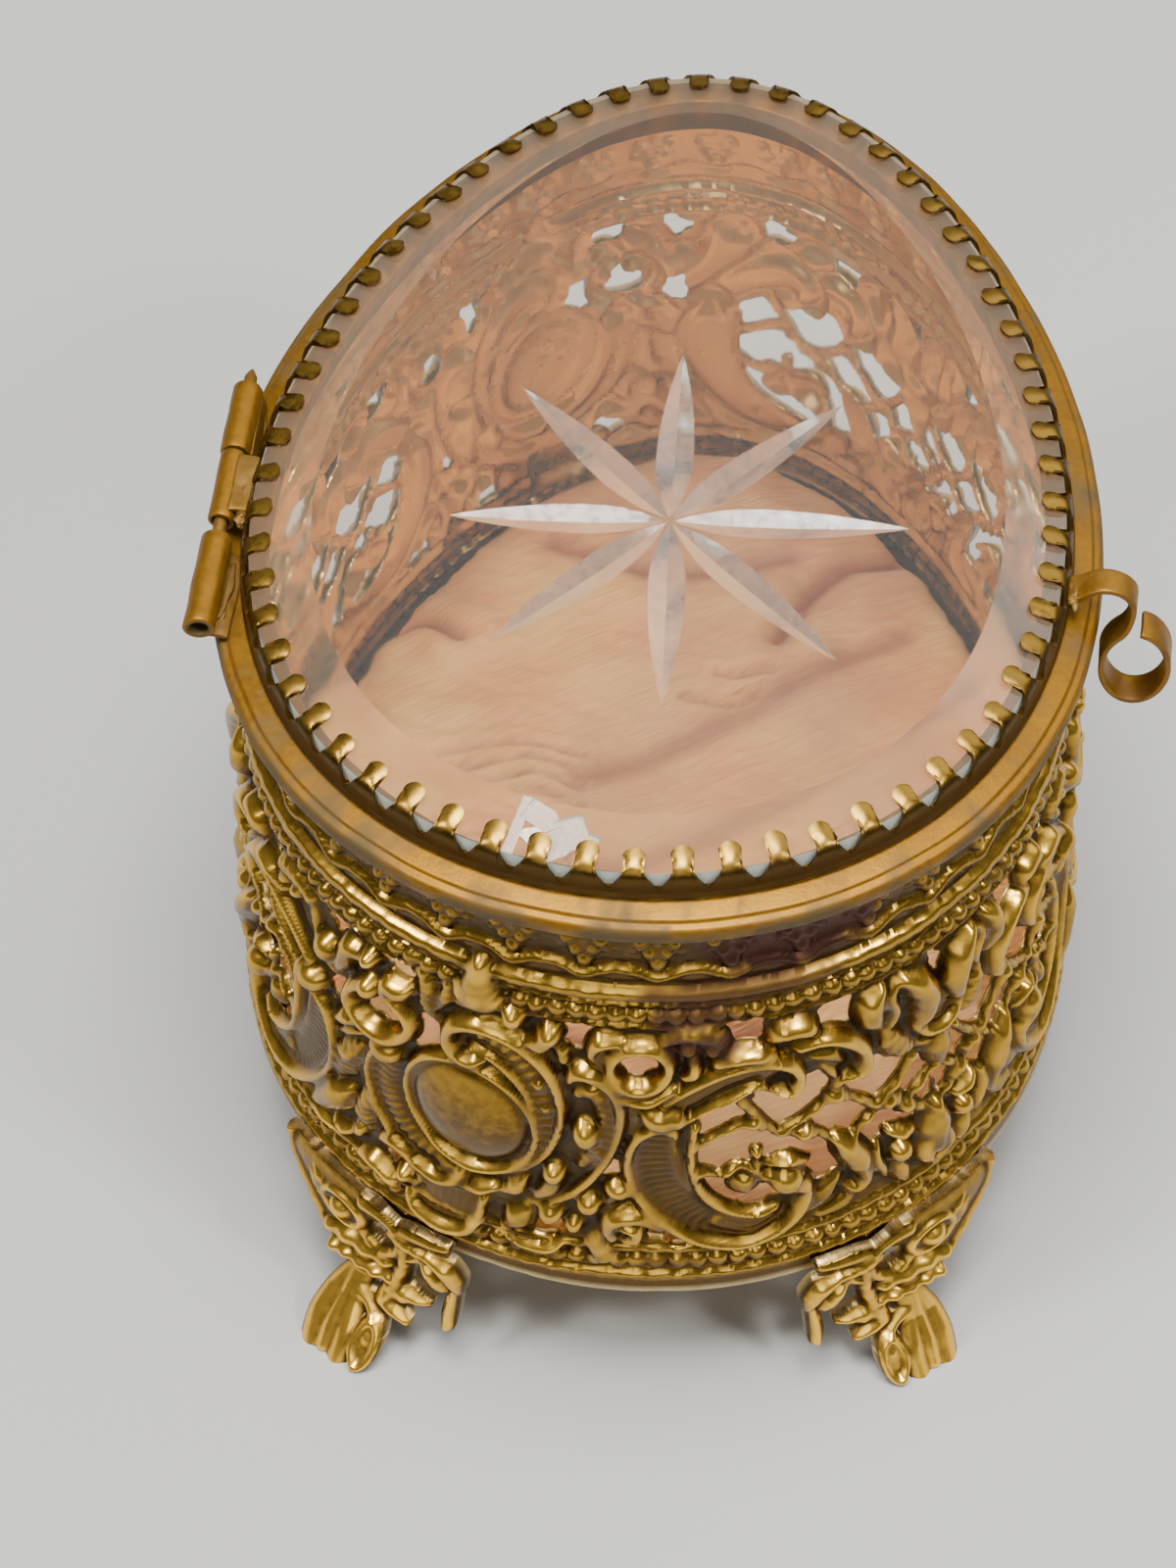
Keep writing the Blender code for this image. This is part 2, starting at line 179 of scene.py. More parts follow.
def pick_faces(thing: bpy.types.Object, mask: np.ndarray) -> None:
    """Go into edit mode with just the faces that a mask marks selected."""
    take(thing)
    bpy.ops.object.mode_set(mode="EDIT")
    bpy.ops.mesh.select_mode(type="FACE")
    bpy.ops.mesh.select_all(action="DESELECT")
    bpy.ops.object.mode_set(mode="OBJECT")
    thing.data.polygons.foreach_set("select", mask)
    bpy.ops.object.mode_set(mode="EDIT")


def drop_faces(thing: bpy.types.Object, mask: np.ndarray) -> None:
    """Delete the faces that a mask marks, with the vertices and edges only they used."""
    pick_faces(thing, mask)
    bpy.ops.mesh.delete(type="FACE")
    bpy.ops.mesh.select_mode(type="VERT")
    bpy.ops.object.mode_set(mode="OBJECT")


def facings(thing: bpy.types.Object) -> tuple[np.ndarray, np.ndarray]:
    """The centres and the normals of the mesh's faces, one row each."""
    flat = np.empty(len(thing.data.polygons) * 3)
    thing.data.polygons.foreach_get("center", flat)
    centres = flat.reshape(-1, 3).copy()
    thing.data.polygons.foreach_get("normal", flat)
    return centres, flat.reshape(-1, 3)


def face_outwards(thing: bpy.types.Object) -> None:
    """Merge doubles and turn a closed shell's faces outwards."""
    with editing(thing):
        bpy.ops.mesh.remove_doubles(threshold=SAME_PLACE)
        bpy.ops.mesh.normals_make_consistent(inside=False)


def pull_up(thing: bpy.types.Object, times: int) -> None:
    """Extrude all of a flat mesh upwards, one unit at a time."""
    with editing(thing):
        for _ in range(times):
            bpy.ops.mesh.extrude_region_move(TRANSFORM_OT_translate={"value": (0.0, 0.0, 1.0)})


def spin_closed(thing: bpy.types.Object, steps: int, axis: Place) -> None:
    """Spin a closed section all the way round an axis through the origin, as a closed ring."""
    with editing(thing):
        bpy.ops.mesh.spin(steps=steps, angle=FULL_TURN, center=(0.0, 0.0, 0.0), axis=axis)
        bpy.ops.mesh.select_all(action="SELECT")
        bpy.ops.mesh.remove_doubles(threshold=SAME_PLACE / MM)
        bpy.ops.mesh.normals_make_consistent(inside=False)


def smooth_shade(thing: bpy.types.Object, angle: float | None = None) -> None:
    """Shade a mesh smooth, all over or only under an angle in degrees."""
    take(thing)
    if angle is None:
        bpy.ops.object.shade_smooth()
    else:
        bpy.ops.object.shade_smooth_by_angle(angle=math.radians(angle))


def join(name: str, things: Sequence[bpy.types.Object]) -> bpy.types.Object:
    """Join objects into one named piece.

    Args:
        name: The joined piece's name.
        things: The objects, each with its own mesh.

    Returns:
        The joined object.
    """
    quiet_selection()
    for thing in things:
        thing.select_set(True)
    bpy.context.view_layer.objects.active = things[0]
    bpy.ops.object.join()
    return named(name)


def uneven(points: np.ndarray, length: float, seed: int) -> np.ndarray:
    """Gentle unevenness left by hand work: a sum of seeded plane waves.

    Args:
        points: Places, one row each, in millimetres.
        length: The waves' length in millimetres.
        seed: Which unevenness.

    Returns:
        One number for each place, mostly between -1 and 1.
    """
    rng = np.random.default_rng(seed)
    total = np.zeros(len(points))
    waves = 14
    for _ in range(waves):
        heading = rng.normal(size=points.shape[1])
        heading *= FULL_TURN / (length * rng.uniform(0.6, 1.7) * np.linalg.norm(heading))
        total += np.sin(points @ heading + rng.uniform(0.0, FULL_TURN))
    return total / math.sqrt(waves / 2.0) * 0.6


def bump(values: np.ndarray | float, middle: np.ndarray | float, half: float) -> np.ndarray:
    """A round-backed ridge one high: a half circle `half` to each side of the middle."""
    return np.sqrt(np.clip(1.0 - ((values - middle) / half) ** 2, 0.0, 1.0))


def soft_edge(values: np.ndarray | float, low: float, high: float) -> np.ndarray:
    """Zero up to `low`, one past `high`, and smooth between."""
    t = np.clip((values - low) / (high - low), 0.0, 1.0)
    return t * t * (3.0 - 2.0 * t)


def turned(x: Any, y: Any, degrees: float) -> tuple[Any, Any]:
    """Two coordinates turned about the origin."""
    c, s = math.cos(math.radians(degrees)), math.sin(math.radians(degrees))
    return c * x - s * y, s * x + c * y


def running(line: np.ndarray) -> np.ndarray:
    """The length of a line of points up to each of them."""
    return np.concatenate([[0.0], np.cumsum(np.linalg.norm(np.diff(line, axis=0), axis=1))])


def through(points: Sequence[Point], spacing: float) -> np.ndarray:
    """A smooth curve through points.

    Args:
        points: The points that it passes through.
        spacing: The longest step along it, in millimetres.

    Returns:
        Rows of x, y and the place between the given points, which counts up by one at each.
    """
    knots = np.array(points, float)
    knots = np.vstack([2.0 * knots[0] - knots[1], knots, 2.0 * knots[-1] - knots[-2]])
    rows = []
    for index in range(len(points) - 1):
        before, low, high, after = knots[index:index + 4]
        count = max(2, math.ceil(float(np.linalg.norm(high - low)) / spacing))
        t = np.linspace(0.0, 1.0, count, endpoint=False)[:, None]
        bend = (high - before) * t
        bend += (2.0 * before - 5.0 * low + 4.0 * high - after) * t**2
        bend += (3.0 * low - before - 3.0 * high + after) * t**3
        rows.append(np.hstack([low + 0.5 * bend, index + t]))
    rows.append(np.array([[*points[-1], len(points) - 1.0]]))
    return np.vstack(rows)


def rounded(corners: Sequence[Point], radius: float, steps: int) -> list[Point]:
    """Round the corners of a closed outline.

    Args:
        corners: The outline's corners.
        radius: How far from a corner its rounding starts.
        steps: Short edges in each rounding.

    Returns:
        The rounded outline's corners.
    """
    result = []
    for index, corner in enumerate(corners):
        here = Vector(corner)
        back = Vector(corners[index - 1]) - here
        forth = Vector(corners[(index + 1) % len(corners)]) - here
        reach = min(radius, 0.45 * back.length, 0.45 * forth.length)
        low = here + back.normalized() * reach
        high = here + forth.normalized() * reach
        for step in range(steps + 1):
            t = step / steps
            blend = (1.0 - t) ** 2 * low + 2.0 * t * (1.0 - t) * here + t**2 * high
            result.append((blend.x, blend.y))
    return result


@dataclass(frozen=True)
class Plan:
    """The casket's egg-shaped plan, which every ring and strip follows."""

    half_width: float = 33.1
    half_length: float = 43.3
    taper: float = 0.182
    table_grow: float = 1.0
    table_steps: int = 2880
    round_radius: float = 100.0

    def centre(self) -> Vector:
        """The egg's centre in the frame, in metres: the middle of the bezel's box."""
        low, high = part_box("lid_bezel")
        middle = 0.5 * (low + high)
        return Vector((middle.x, middle.y, 0.0))

    def outline(self, t: np.ndarray, grow: np.ndarray | float) -> np.ndarray:
        """Points of the plan.

        Args:
            t: The plan's parameter, in radians from +X towards +Y.
            grow: How far outwards each point lies.

        Returns:
            Rows of x and y in millimetres.
        """
        x = self.half_width * np.cos(t) * (1.0 - self.taper * np.sin(t))
        y = self.half_length * np.sin(t)
        along_x = -self.half_width * (np.sin(t) + self.taper * np.cos(2.0 * t))
        along_y = self.half_length * np.cos(t)
        size = np.hypot(along_x, along_y)
        return np.stack([x + grow * along_y / size, y - grow * along_x / size], axis=-1)

    def parameter(self, distance: np.ndarray) -> np.ndarray:
        """The parameter at distances along the strip, from the near end towards +X."""
        t = np.linspace(-0.5 * math.pi, 1.5 * math.pi, self.table_steps + 1)
        run = running(self.outline(t, self.table_grow))
        turns = np.floor(distance / run[-1])
        return np.interp(distance - turns * run[-1], run, t) + FULL_TURN * turns

    def length(self) -> float:
        """The length of the strip's line all the way round."""
        t = np.linspace(0.0, FULL_TURN, self.table_steps + 1)
        line = self.outline(t, self.table_grow)
        return float(np.linalg.norm(np.diff(line, axis=0), axis=1).sum())

    def place(self, t: np.ndarray, grow: np.ndarray, height: np.ndarray) -> np.ndarray:
        """Places in the frame, in metres, from the plan's parameter, the grow and the height."""
        x, y = self.outline(t, grow).T
        centre = self.centre()
        return np.column_stack([x * MM + centre.x, y * MM + centre.y, np.asarray(height) * MM])

    def wrap(self, thing: bpy.types.Object) -> None:
        """Bring a ring that was spun about the Z axis onto the egg.

        Args:
            thing: The ring, in millimetres; its radius less `round_radius` is its grow.
        """
        points = points_of(thing)
        turn = np.arctan2(points[:, 1], points[:, 0])
        grow = np.hypot(points[:, 0], points[:, 1]) - self.round_radius
        move_points(thing, self.place(turn, grow, points[:, 2]))

    def local(self, points: np.ndarray) -> np.ndarray:
        """Frame places as millimetres in the plan's own frame."""
        return (points - np.array(self.centre())) / MM

    def to_frame(self, points: np.ndarray) -> np.ndarray:
        """Places in the plan's own millimetres as metres in the frame."""
        return points * MM + np.array(self.centre())


PLAN = Plan()


def spin_ring(name: str, section: Sequence[Point], steps: int, uneven_by: float = 0.0) -> bpy.types.Object:
    """A closed ring round the plan.

    Args:
        name: The piece's name.
        section: The ring's closed cross-section as grow and height.
        steps: Sections round the plan.
        uneven_by: How far hand work has pushed the ring in and out, in millimetres.

    Returns:
        The ring.
    """
    ring = start(name, bpy.ops.mesh.primitive_circle_add, vertices=len(section), radius=1.0)
    move_points(ring, np.array([(PLAN.round_radius + grow, 0.0, height) for grow, height in section]))
    spin_closed(ring, steps, (0.0, 0.0, 1.0))
    if uneven_by:
        points = points_of(ring)
        push = uneven(points, 22.0, seed=len(section)) * uneven_by
        size = np.hypot(points[:, 0], points[:, 1])
        points[:, :2] *= (1.0 + push / size)[:, None]
        points[:, 2] += uneven(points, 17.0, seed=len(section) + 1) * uneven_by * 0.5
        move_points(ring, points)
    PLAN.wrap(ring)
    smooth_shade(ring, 38.0)
    return ring


@dataclass
class Relief:
    """Chased work over a sheet: how high it stands, and how far inside the metal each place is.

    A `mirror` of -1 draws a motif mirrored.
    """

    across: np.ndarray
    up: np.ndarray
    height: np.ndarray = field(init=False)
    drawn: np.ndarray = field(init=False)
    open_by: np.ndarray = field(init=False)

    def __post_init__(self) -> None:
        """Start from a flat sheet with no work on it."""
        shape = (len(self.across), len(self.up))
        self.height = np.zeros(shape)
        self.drawn = np.full(shape, -9.0)
        self.open_by = np.full(shape, -9.0)

    def window(self, low: np.ndarray, high: np.ndarray) -> Area:
        """The part of the sheet between two corners."""
        a = np.searchsorted(self.across, (low[0], high[0]))
        b = np.searchsorted(self.up, (low[1], high[1]))
        return slice(*a), slice(*b)

    def raise_to(self, area: Area, height: np.ndarray, inside: np.ndarray) -> None:
        """Add one motif: the higher one shows where motifs overlap."""
        self.height[area] = np.maximum(self.height[area], np.where(inside > 0.0, height, 0.0))
        self.drawn[area] = np.maximum(self.drawn[area], inside)

    def from_point(self, area: Area, point: Sequence[float]) -> tuple[np.ndarray, np.ndarray]:
        """The window's places, measured from a point."""
        return self.across[area[0]][:, None] - point[0], self.up[area[1]][None, :] - point[1]

    def oval(self, centre: Point, size: Point, turn: float, margin: float) -> tuple[Area, np.ndarray, np.ndarray]:
        """The window round a turned oval, and its places as fractions of the oval's half sizes."""
        middle, reach = np.array(centre), max(size) + margin
        area = self.window(middle - reach, middle + reach)
        x, y = turned(*self.from_point(area, centre), -turn)
        return area, x / size[0], y / size[1]

    def stroke(self, points: Sequence[Point], halves: Sequence[float], lift: float, chase: Chase = Chase.ROUND,
               pitch: float = 0.85, bite: float = 0.18, mirror: float = 1.0) -> None:
        """Raise a band along a smooth curve.

        Args:
            points: The curve's points.
            halves: Half widths, spread evenly from its first point to its last.
            lift: How high its widest part stands.
            chase: How it is rounded and tooled.
            pitch: The tooling's repeat.
            bite: The tooling's depth, as a part of the lift.
            mirror: Which side it is on.
        """
        path = through([(mirror * x, y) for x, y in points], 0.25)
        half = np.interp(path[:, 2], np.linspace(0.0, len(points) - 1.0, len(halves)), halves)
        run = np.concatenate([[0.0], np.cumsum(np.hypot(*np.diff(path[:, :2], axis=0).T))])
        reach = half.max() + 0.8
        area = self.window(path[:, :2].min(axis=0) - reach, path[:, :2].max(axis=0) + reach)
        gap, wide, along = self.nearest(area, path[:, :2], half, run, reach)
        t = np.clip(gap / wide, 0.0, 1.0)
        wave = FULL_TURN / pitch
        back = 0.55 * np.sqrt(1.0 - t**2) + 0.45 * (1.0 - t**2)
        if chase is Chase.ROUND:
            rise = back
        elif chase is Chase.GUTTER:
            edge = np.exp(-(((t - 0.78) / 0.18) ** 2))
            rise = (0.3 + 0.7 * edge) * np.sqrt(1.0 - t**12)
            rise += bite * np.cos(wave * along) * np.clip(1.0 - (t / 0.62) ** 4, 0.0, 1.0)
        elif chase is Chase.LEAF:
            slant = np.cos(wave * (along - 0.6 * gap))
            rise = back * (1.0 + bite * slant * np.clip(2.5 * t, 0.0, 1.0) - 0.25 * bite)
        elif chase is Chase.ROPE:
            rise = back * (1.0 + bite * np.cos(wave * along))
        else:
            rise = np.sqrt(1.0 - t**4) * (1.0 - bite + bite * np.cos(wave * gap))
        taper = (wide / half.max()) ** 0.5
        self.raise_to(area, lift * rise * taper, wide - gap)

    def nearest(self, area: Area, line: np.ndarray, half: np.ndarray, run: np.ndarray,
                reach: float) -> tuple[np.ndarray, np.ndarray, np.ndarray]:
        """How each place of a window lies beside a line.

        Args:
            area: The window.
            line: The line's points.
            half: The band's half width at each point.
            run: The length of line up to each point.
            reach: How far from the line matters.

        Returns:
            The distance to the line, and the half width and the length along it there.
        """
        gap = np.full(self.height[area].shape, 1e9)
        best, wide, along = gap.copy(), np.full_like(gap, half.min()), np.zeros_like(gap)
        for index in range(len(line) - 1):
            ends = line[index:index + 2]
            near = self.window(ends.min(axis=0) - reach, ends.max(axis=0) + reach)
            x, y = self.from_point(near, ends[0])
            step = ends[1] - ends[0]
            t = np.clip((x * step[0] + y * step[1]) / max(float(step @ step), 1e-9), 0.0, 1.0)
            away = np.hypot(x - t * step[0], y - t * step[1])
            here = half[index] + t * (half[index + 1] - half[index])
            part = tuple(slice(n.start - a.start, n.stop - a.start) for n, a in zip(near, area))
            closer = away - 0.3 * here < best[part]
            best[part] = np.where(closer, away - 0.3 * here, best[part])
            gap[part] = np.where(closer, away, gap[part])
            wide[part] = np.where(closer, here, wide[part])
            along[part] = np.where(closer, run[index] + t * (run[index + 1] - run[index]), along[part])
        return gap, wide, along

    def dome(self, centre: Point, size: Point, lift: float, turn: float = 0.0, power: float = 2.0,
             ribs: int = 0, bite: float = 0.14, mirror: float = 1.0) -> None:
        """Raise an oval.

        Args:
            centre: Its middle.
            size: Its half sizes.
            lift: Its height.
            turn: Its turn in degrees.
            power: 2 for a round back, more for a flatter one.
            ribs: Lobes that fan out from below it.
            bite: The depth of the furrows between them.
            mirror: Which side it is on.
        """
        area, p, q = self.oval((mirror * centre[0], centre[1]), size, mirror * turn, 1.2)
        out = np.hypot(p, q)
        t = np.clip(out, 0.0, 1.0)
        rise = np.sqrt(1.0 - t**power)
        if ribs:
            rise = rise * (1.0 + bite * np.cos(ribs * np.arctan2(p, q + 1.2)) * t)
        self.raise_to(area, lift * rise, (1.0 - out) * min(size))

    def ring(self, centre: Point, size: Point, half: float, lift: float, turn: float = 0.0) -> None:
        """Raise an oval hoop, `half` wide to each side of its line."""
        area, p, q = self.oval(centre, size, turn, half + 1.2)
        away = np.abs(np.hypot(p, q) - 1.0) * 0.5 * (size[0] + size[1])
        t = np.clip(away / half, 0.0, 1.0)
        self.raise_to(area, lift * np.sqrt(1.0 - t**2), half - away)

    def opening(self, centre: Point, size: Point, turn: float = 0.0, power: float = 2.0,
                mirror: float = 1.0) -> None:
        """Pierce the sheet with a hand-sawn oval that stops at whatever is raised."""
        centre = (mirror * centre[0], centre[1])
        area, p, q = self.oval(centre, size, mirror * turn, 1.2)
        out = (np.abs(p) ** power + np.abs(q) ** power) ** (1.0 / power)
        wander = 0.3 * (np.sin(2.3 * p * size[0] + centre[1]) + np.sin(2.9 * q * size[1] + centre[0]))
        depth = (1.0 - out) * min(size) + wander * np.clip(out, 0.0, 1.0)
        self.open_by[area] = np.maximum(self.open_by[area], depth)

    def metal(self, flange: float) -> np.ndarray:
        """How far inside the metal each place is, with a narrow flange left round each motif."""
        return np.maximum(self.drawn + flange, -self.open_by)

    def hollows(self, reach: float) -> np.ndarray:
        """How much lower each place lies than what is round it, for dirt and painted shade to darken."""
        return box_blur(self.height, self.across, reach) - self.height


def box_blur(field_: np.ndarray, across: np.ndarray, reach: float) -> np.ndarray:
    """Blur a raster twice with a square window `reach` to each side."""
    count = max(1, round(reach / float(across[1] - across[0])))
    for _ in range(2):
        for axis in (0, 1):
            pad = [(0, 0), (0, 0)]
            pad[axis] = (count + 1, count)
            sums = np.cumsum(np.pad(field_, pad, mode="edge"), axis=axis)
            width = 2 * count + 1
            if axis == 0:
                field_ = (sums[width:] - sums[:-width]) / width
            else:
                field_ = (sums[:, width:] - sums[:, :-width]) / width
    return field_


def joined_to(metal: np.ndarray, seed: np.ndarray) -> np.ndarray:
    """Which places of the metal hang together with the seed.

    Args:
        metal: Where there is metal.
        seed: Where to start from.

    Returns:
        True where the metal can be reached from the seed.
    """
    reached = metal & seed
    count = -1
    while count != int(reached.sum()):
        count = int(reached.sum())
        for _ in range(6):
            grown = reached.copy()
            grown[1:] |= reached[:-1]
            grown[:-1] |= reached[1:]
            grown[:, 1:] |= reached[:, :-1]
            grown[:, :-1] |= reached[:, 1:]
            reached = grown & metal
    return reached


@dataclass(frozen=True)
class Raster:
    """Even samples of one quantity over a sheet, read between them."""

    across: np.ndarray
    up: np.ndarray
    values: np.ndarray

    def read(self, x: np.ndarray, y: np.ndarray) -> np.ndarray:
        """The quantity at places on the sheet."""
        step = self.across[1] - self.across[0]
        i = np.clip((x - self.across[0]) / step, 0.0, len(self.across) - 1.001)
        j = np.clip((y - self.up[0]) / step, 0.0, len(self.up) - 1.001)
        a, b = i.astype(int), j.astype(int)
        p, q = i - a, j - b
        low = self.values[a, b] * (1.0 - p) + self.values[a + 1, b] * p
        high = self.values[a, b + 1] * (1.0 - p) + self.values[a + 1, b + 1] * p
        return low * (1.0 - q) + high * q


@dataclass(frozen=True)
class RocailleUnit:
    """One repeat of the openwork: a cartouche, with half a trellis panel and half a bouquet on each side.

    Places are (across, height): across is measured from the cartouche's middle, and the unit
    mirrors at its ends.
    """

    half: float = 41.5
    low: float = 20.6
    high: float = 51.2
    flange: float = 0.16
    step: float = 0.1

    def draw(self) -> Relief:
        """Chase the whole unit."""
        reach = self.half + 0.5
        relief = Relief(np.arange(-reach, reach + self.step, self.step), np.arange(15.0, 58.0, self.step))
        for side in (-1.0, 1.0):
            self.trellis(relief, side)
            self.bouquet(relief, side)
            self.great_scroll(relief, side)
        self.acanthus(relief)
        self.wave_scroll(relief)
        self.cartouche(relief)
        self.crown(relief)
        self.tongue(relief)
        self.pierce(relief)
        return relief

    def cartouche(self, r: Relief) -> None:
        """The plain domed oval, its hoop and the two bands that clasp it."""
        r.dome((0.3, 35.3), (5.3, 6.3), 1.75, turn=8.0, power=2.4)
        r.ring((0.4, 35.1), (5.85, 6.95), 0.5, 1.25, turn=8.0)
        r.stroke([(-4.6, 31.4), (-2.6, 29.1), (0.6, 28.1), (3.8, 29.3), (5.9, 31.9)],
                 (0.2, 0.6, 0.75, 0.6, 0.2), 1.5)
        r.stroke(
            [(2.0, 43.4), (0.9, 42.6), (-0.6, 42.9), (-1.4, 44.6), (-0.7, 46.9), (1.7, 48.2), (4.6, 47.4),
             (7.1, 44.6), (8.3, 40.6), (8.3, 36.6), (7.3, 33.0), (5.6, 30.2), (4.0, 28.6)],
            (0.35, 0.6, 0.8, 0.85, 1.0, 1.0, 0.85, 0.7, 0.6, 0.55, 0.5, 0.45, 0.3), 1.75)
        r.stroke([(1.7, 46.2), (4.0, 45.0), (6.0, 42.0), (6.9, 38.4), (6.8, 34.6), (5.6, 31.6)],
                 (1.0, 1.25, 1.3, 1.2, 1.0, 0.5), 0.65, Chase.ROPE, pitch=1.05, bite=0.35)
        r.stroke([(0.7, 44.4), (2.3, 44.4), (4.2, 42.8), (5.6, 40.2), (6.3, 37.0), (6.2, 33.4)],
                 (0.45, 0.6, 0.6, 0.5, 0.45, 0.3), 1.35)
        r.dome((6.6, 41.9), (0.55, 0.55), 1.2)
        r.dome((7.2, 38.9), (0.5, 0.6), 1.15)
        r.stroke(
            [(-8.3, 37.9), (-9.4, 35.7), (-9.7, 32.8), (-8.9, 29.6), (-7.1, 26.6), (-5.0, 24.9), (-2.7, 24.2),
             (-0.9, 25.0), (-0.3, 26.8)],
            (0.5, 0.5, 0.5, 0.5, 0.55, 0.65, 0.9, 0.85, 0.4), 1.6)
        r.stroke([(-7.5, 36.9), (-8.1, 33.6), (-7.3, 30.2), (-5.4, 27.4), (-2.8, 26.2)],
                 (1.3, 1.5, 1.5, 1.4, 0.9), 0.55, Chase.ROPE, pitch=0.95, bite=0.4)
        r.dome((-7.7, 38.2), (1.85, 1.45), 1.8, turn=-12.0)

    def crown(self, r: Relief) -> None:
        """The bud that rises over the cartouche across the mouldings, with its balls and leaves."""
        r.stroke([(1.6, 55.9), (1.5, 54.4), (1.4, 52.2)], (1.1, 1.5, 2.1), 2.1)
        r.dome((1.4, 51.9), (2.5, 1.7), 2.0)
        r.stroke([(2.6, 50.6), (1.2, 50.0), (-0.6, 49.6)], (0.5, 0.9, 0.5), 1.0)
        r.dome((4.5, 50.7), (1.15, 1.35), 1.9, turn=15.0)
        r.stroke([(5.5, 47.7), (6.8, 48.0), (7.5, 49.4), (7.3, 50.2)], (0.5, 1.1, 1.3, 0.5), 1.9)
        r.stroke([(-4.0, 51.4), (-3.4, 49.8), (-3.3, 47.6), (-2.3, 45.8)], (0.6, 1.1, 1.1, 0.4), 1.2,
                 Chase.LEAF, 0.8, 0.3)
        r.stroke([(-1.5, 51.2), (-1.7, 49.4), (-2.3, 47.6)], (0.5, 0.9, 0.4), 1.1, Chase.LEAF, 0.8, 0.3)

    def acanthus(self, r: Relief) -> None:
        """The acanthus scroll, the ring scroll and the leaves on the cartouche's right."""
        r.stroke(
            [(9.2, 43.7), (9.7, 44.9), (11.0, 45.2), (12.6, 43.6), (13.3, 40.6), (13.2, 37.4), (12.6, 34.4),
             (11.5, 31.4), (9.9, 28.4), (7.9, 26.2), (5.6, 24.9)],
            (0.6, 0.9, 1.15, 1.0, 0.75, 0.6, 0.55, 0.55, 0.5, 0.45, 0.3), 1.85)
        r.stroke([(9.7, 41.4), (11.0, 41.9), (12.0, 40.4), (12.2, 37.6), (11.5, 34.6), (10.0, 31.4)],
                 (0.6, 1.2, 1.2, 1.2, 1.2, 0.6), 0.95, Chase.LEAF, 1.0, 0.2)
        r.dome((10.5, 36.6), (1.3, 1.75), 2.0, turn=12.0)
        r.stroke([(10.9, 34.9), (11.6, 34.1), (11.9, 33.0)], (1.0, 0.8, 0.5), 1.2)
        r.dome((7.8, 30.2), (1.15, 1.3), 1.7, turn=-10.0)
        r.stroke([(7.9, 29.6), (7.4, 27.8), (6.2, 26.2)], (1.0, 1.05, 0.5), 1.4)
        r.stroke([(5.2, 28.4), (4.6, 26.9), (3.3, 25.7)], (0.5, 1.1, 0.5), 1.4)
        r.stroke([(2.7, 25.9), (1.4, 25.1), (-0.6, 24.3)], (0.6, 0.9, 0.4), 1.5)
        r.dome((7.5, 24.5), (1.25, 1.35), 1.8, turn=-30.0)
        r.stroke([(5.6, 24.0), (4.7, 22.4), (3.5, 20.6)], (0.8, 1.5, 0.5), 1.5)
        r.stroke([(3.0, 19.9), (5.2, 19.3), (7.4, 19.5), (8.8, 20.6)], (0.4, 0.75, 0.85, 0.3), 1.6)
        r.dome((10.7, 26.7), (1.3, 1.35), 1.75)
        r.dome((13.2, 29.2), (1.4, 1.15), 1.7)
        r.stroke([(12.9, 28.0), (12.6, 26.8)], (1.2, 0.7), 1.0)
        r.stroke(
            [(12.7, 22.2), (12.3, 23.6), (12.9, 25.2), (14.4, 25.7), (15.8, 24.8), (16.8, 23.0)],
            (0.7, 0.9, 1.2, 1.1, 0.8, 0.4), 1.9)
        r.stroke([(13.4, 23.6), (14.4, 23.4), (14.6, 22.3), (13.6, 21.6)], (0.6, 0.8, 0.8, 0.5), 1.5)
        r.stroke([(11.9, 22.6), (11.4, 20.9), (11.9, 19.2)], (0.5, 1.2, 1.3), 1.3)
        r.dome((9.4, 22.9), (0.9, 1.1), 1.2)
        r.ring((14.9, 46.2), (2.35, 2.85), 0.75, 1.6, turn=-8.0)
        r.stroke([(12.4, 43.9), (13.6, 42.4), (15.6, 42.0), (17.6, 43.2)], (0.3, 0.8, 0.9, 0.5), 1.7)
        r.stroke([(14.1, 43.6), (15.4, 43.4), (16.3, 44.2)], (0.3, 0.6, 0.3), 1.5)
        r.stroke([(11.6, 46.0), (11.0, 47.6), (11.7, 49.3), (13.4, 49.4)], (0.4, 0.7, 0.95, 0.6), 1.6)
        r.stroke([(12.1, 46.2), (12.0, 47.6), (12.7, 48.4)], (0.4, 0.5, 0.3), 1.1)
        r.stroke([(18.3, 44.6), (19.3, 45.6), (19.2, 47.2)], (0.4, 0.8, 0.5), 1.6)
        r.stroke([(5.4, 46.8), (6.0, 48.2)], (0.7, 0.6), 0.9, Chase.LEAF)
        r.stroke([(8.7, 46.0), (8.4, 47.2), (7.8, 47.8)], (0.8, 0.7, 0.3), 1.0, Chase.LEAF)
        r.stroke([(14.0, 40.9), (14.6, 39.0), (14.2, 36.8)], (0.9, 1.1, 0.7), 0.5)

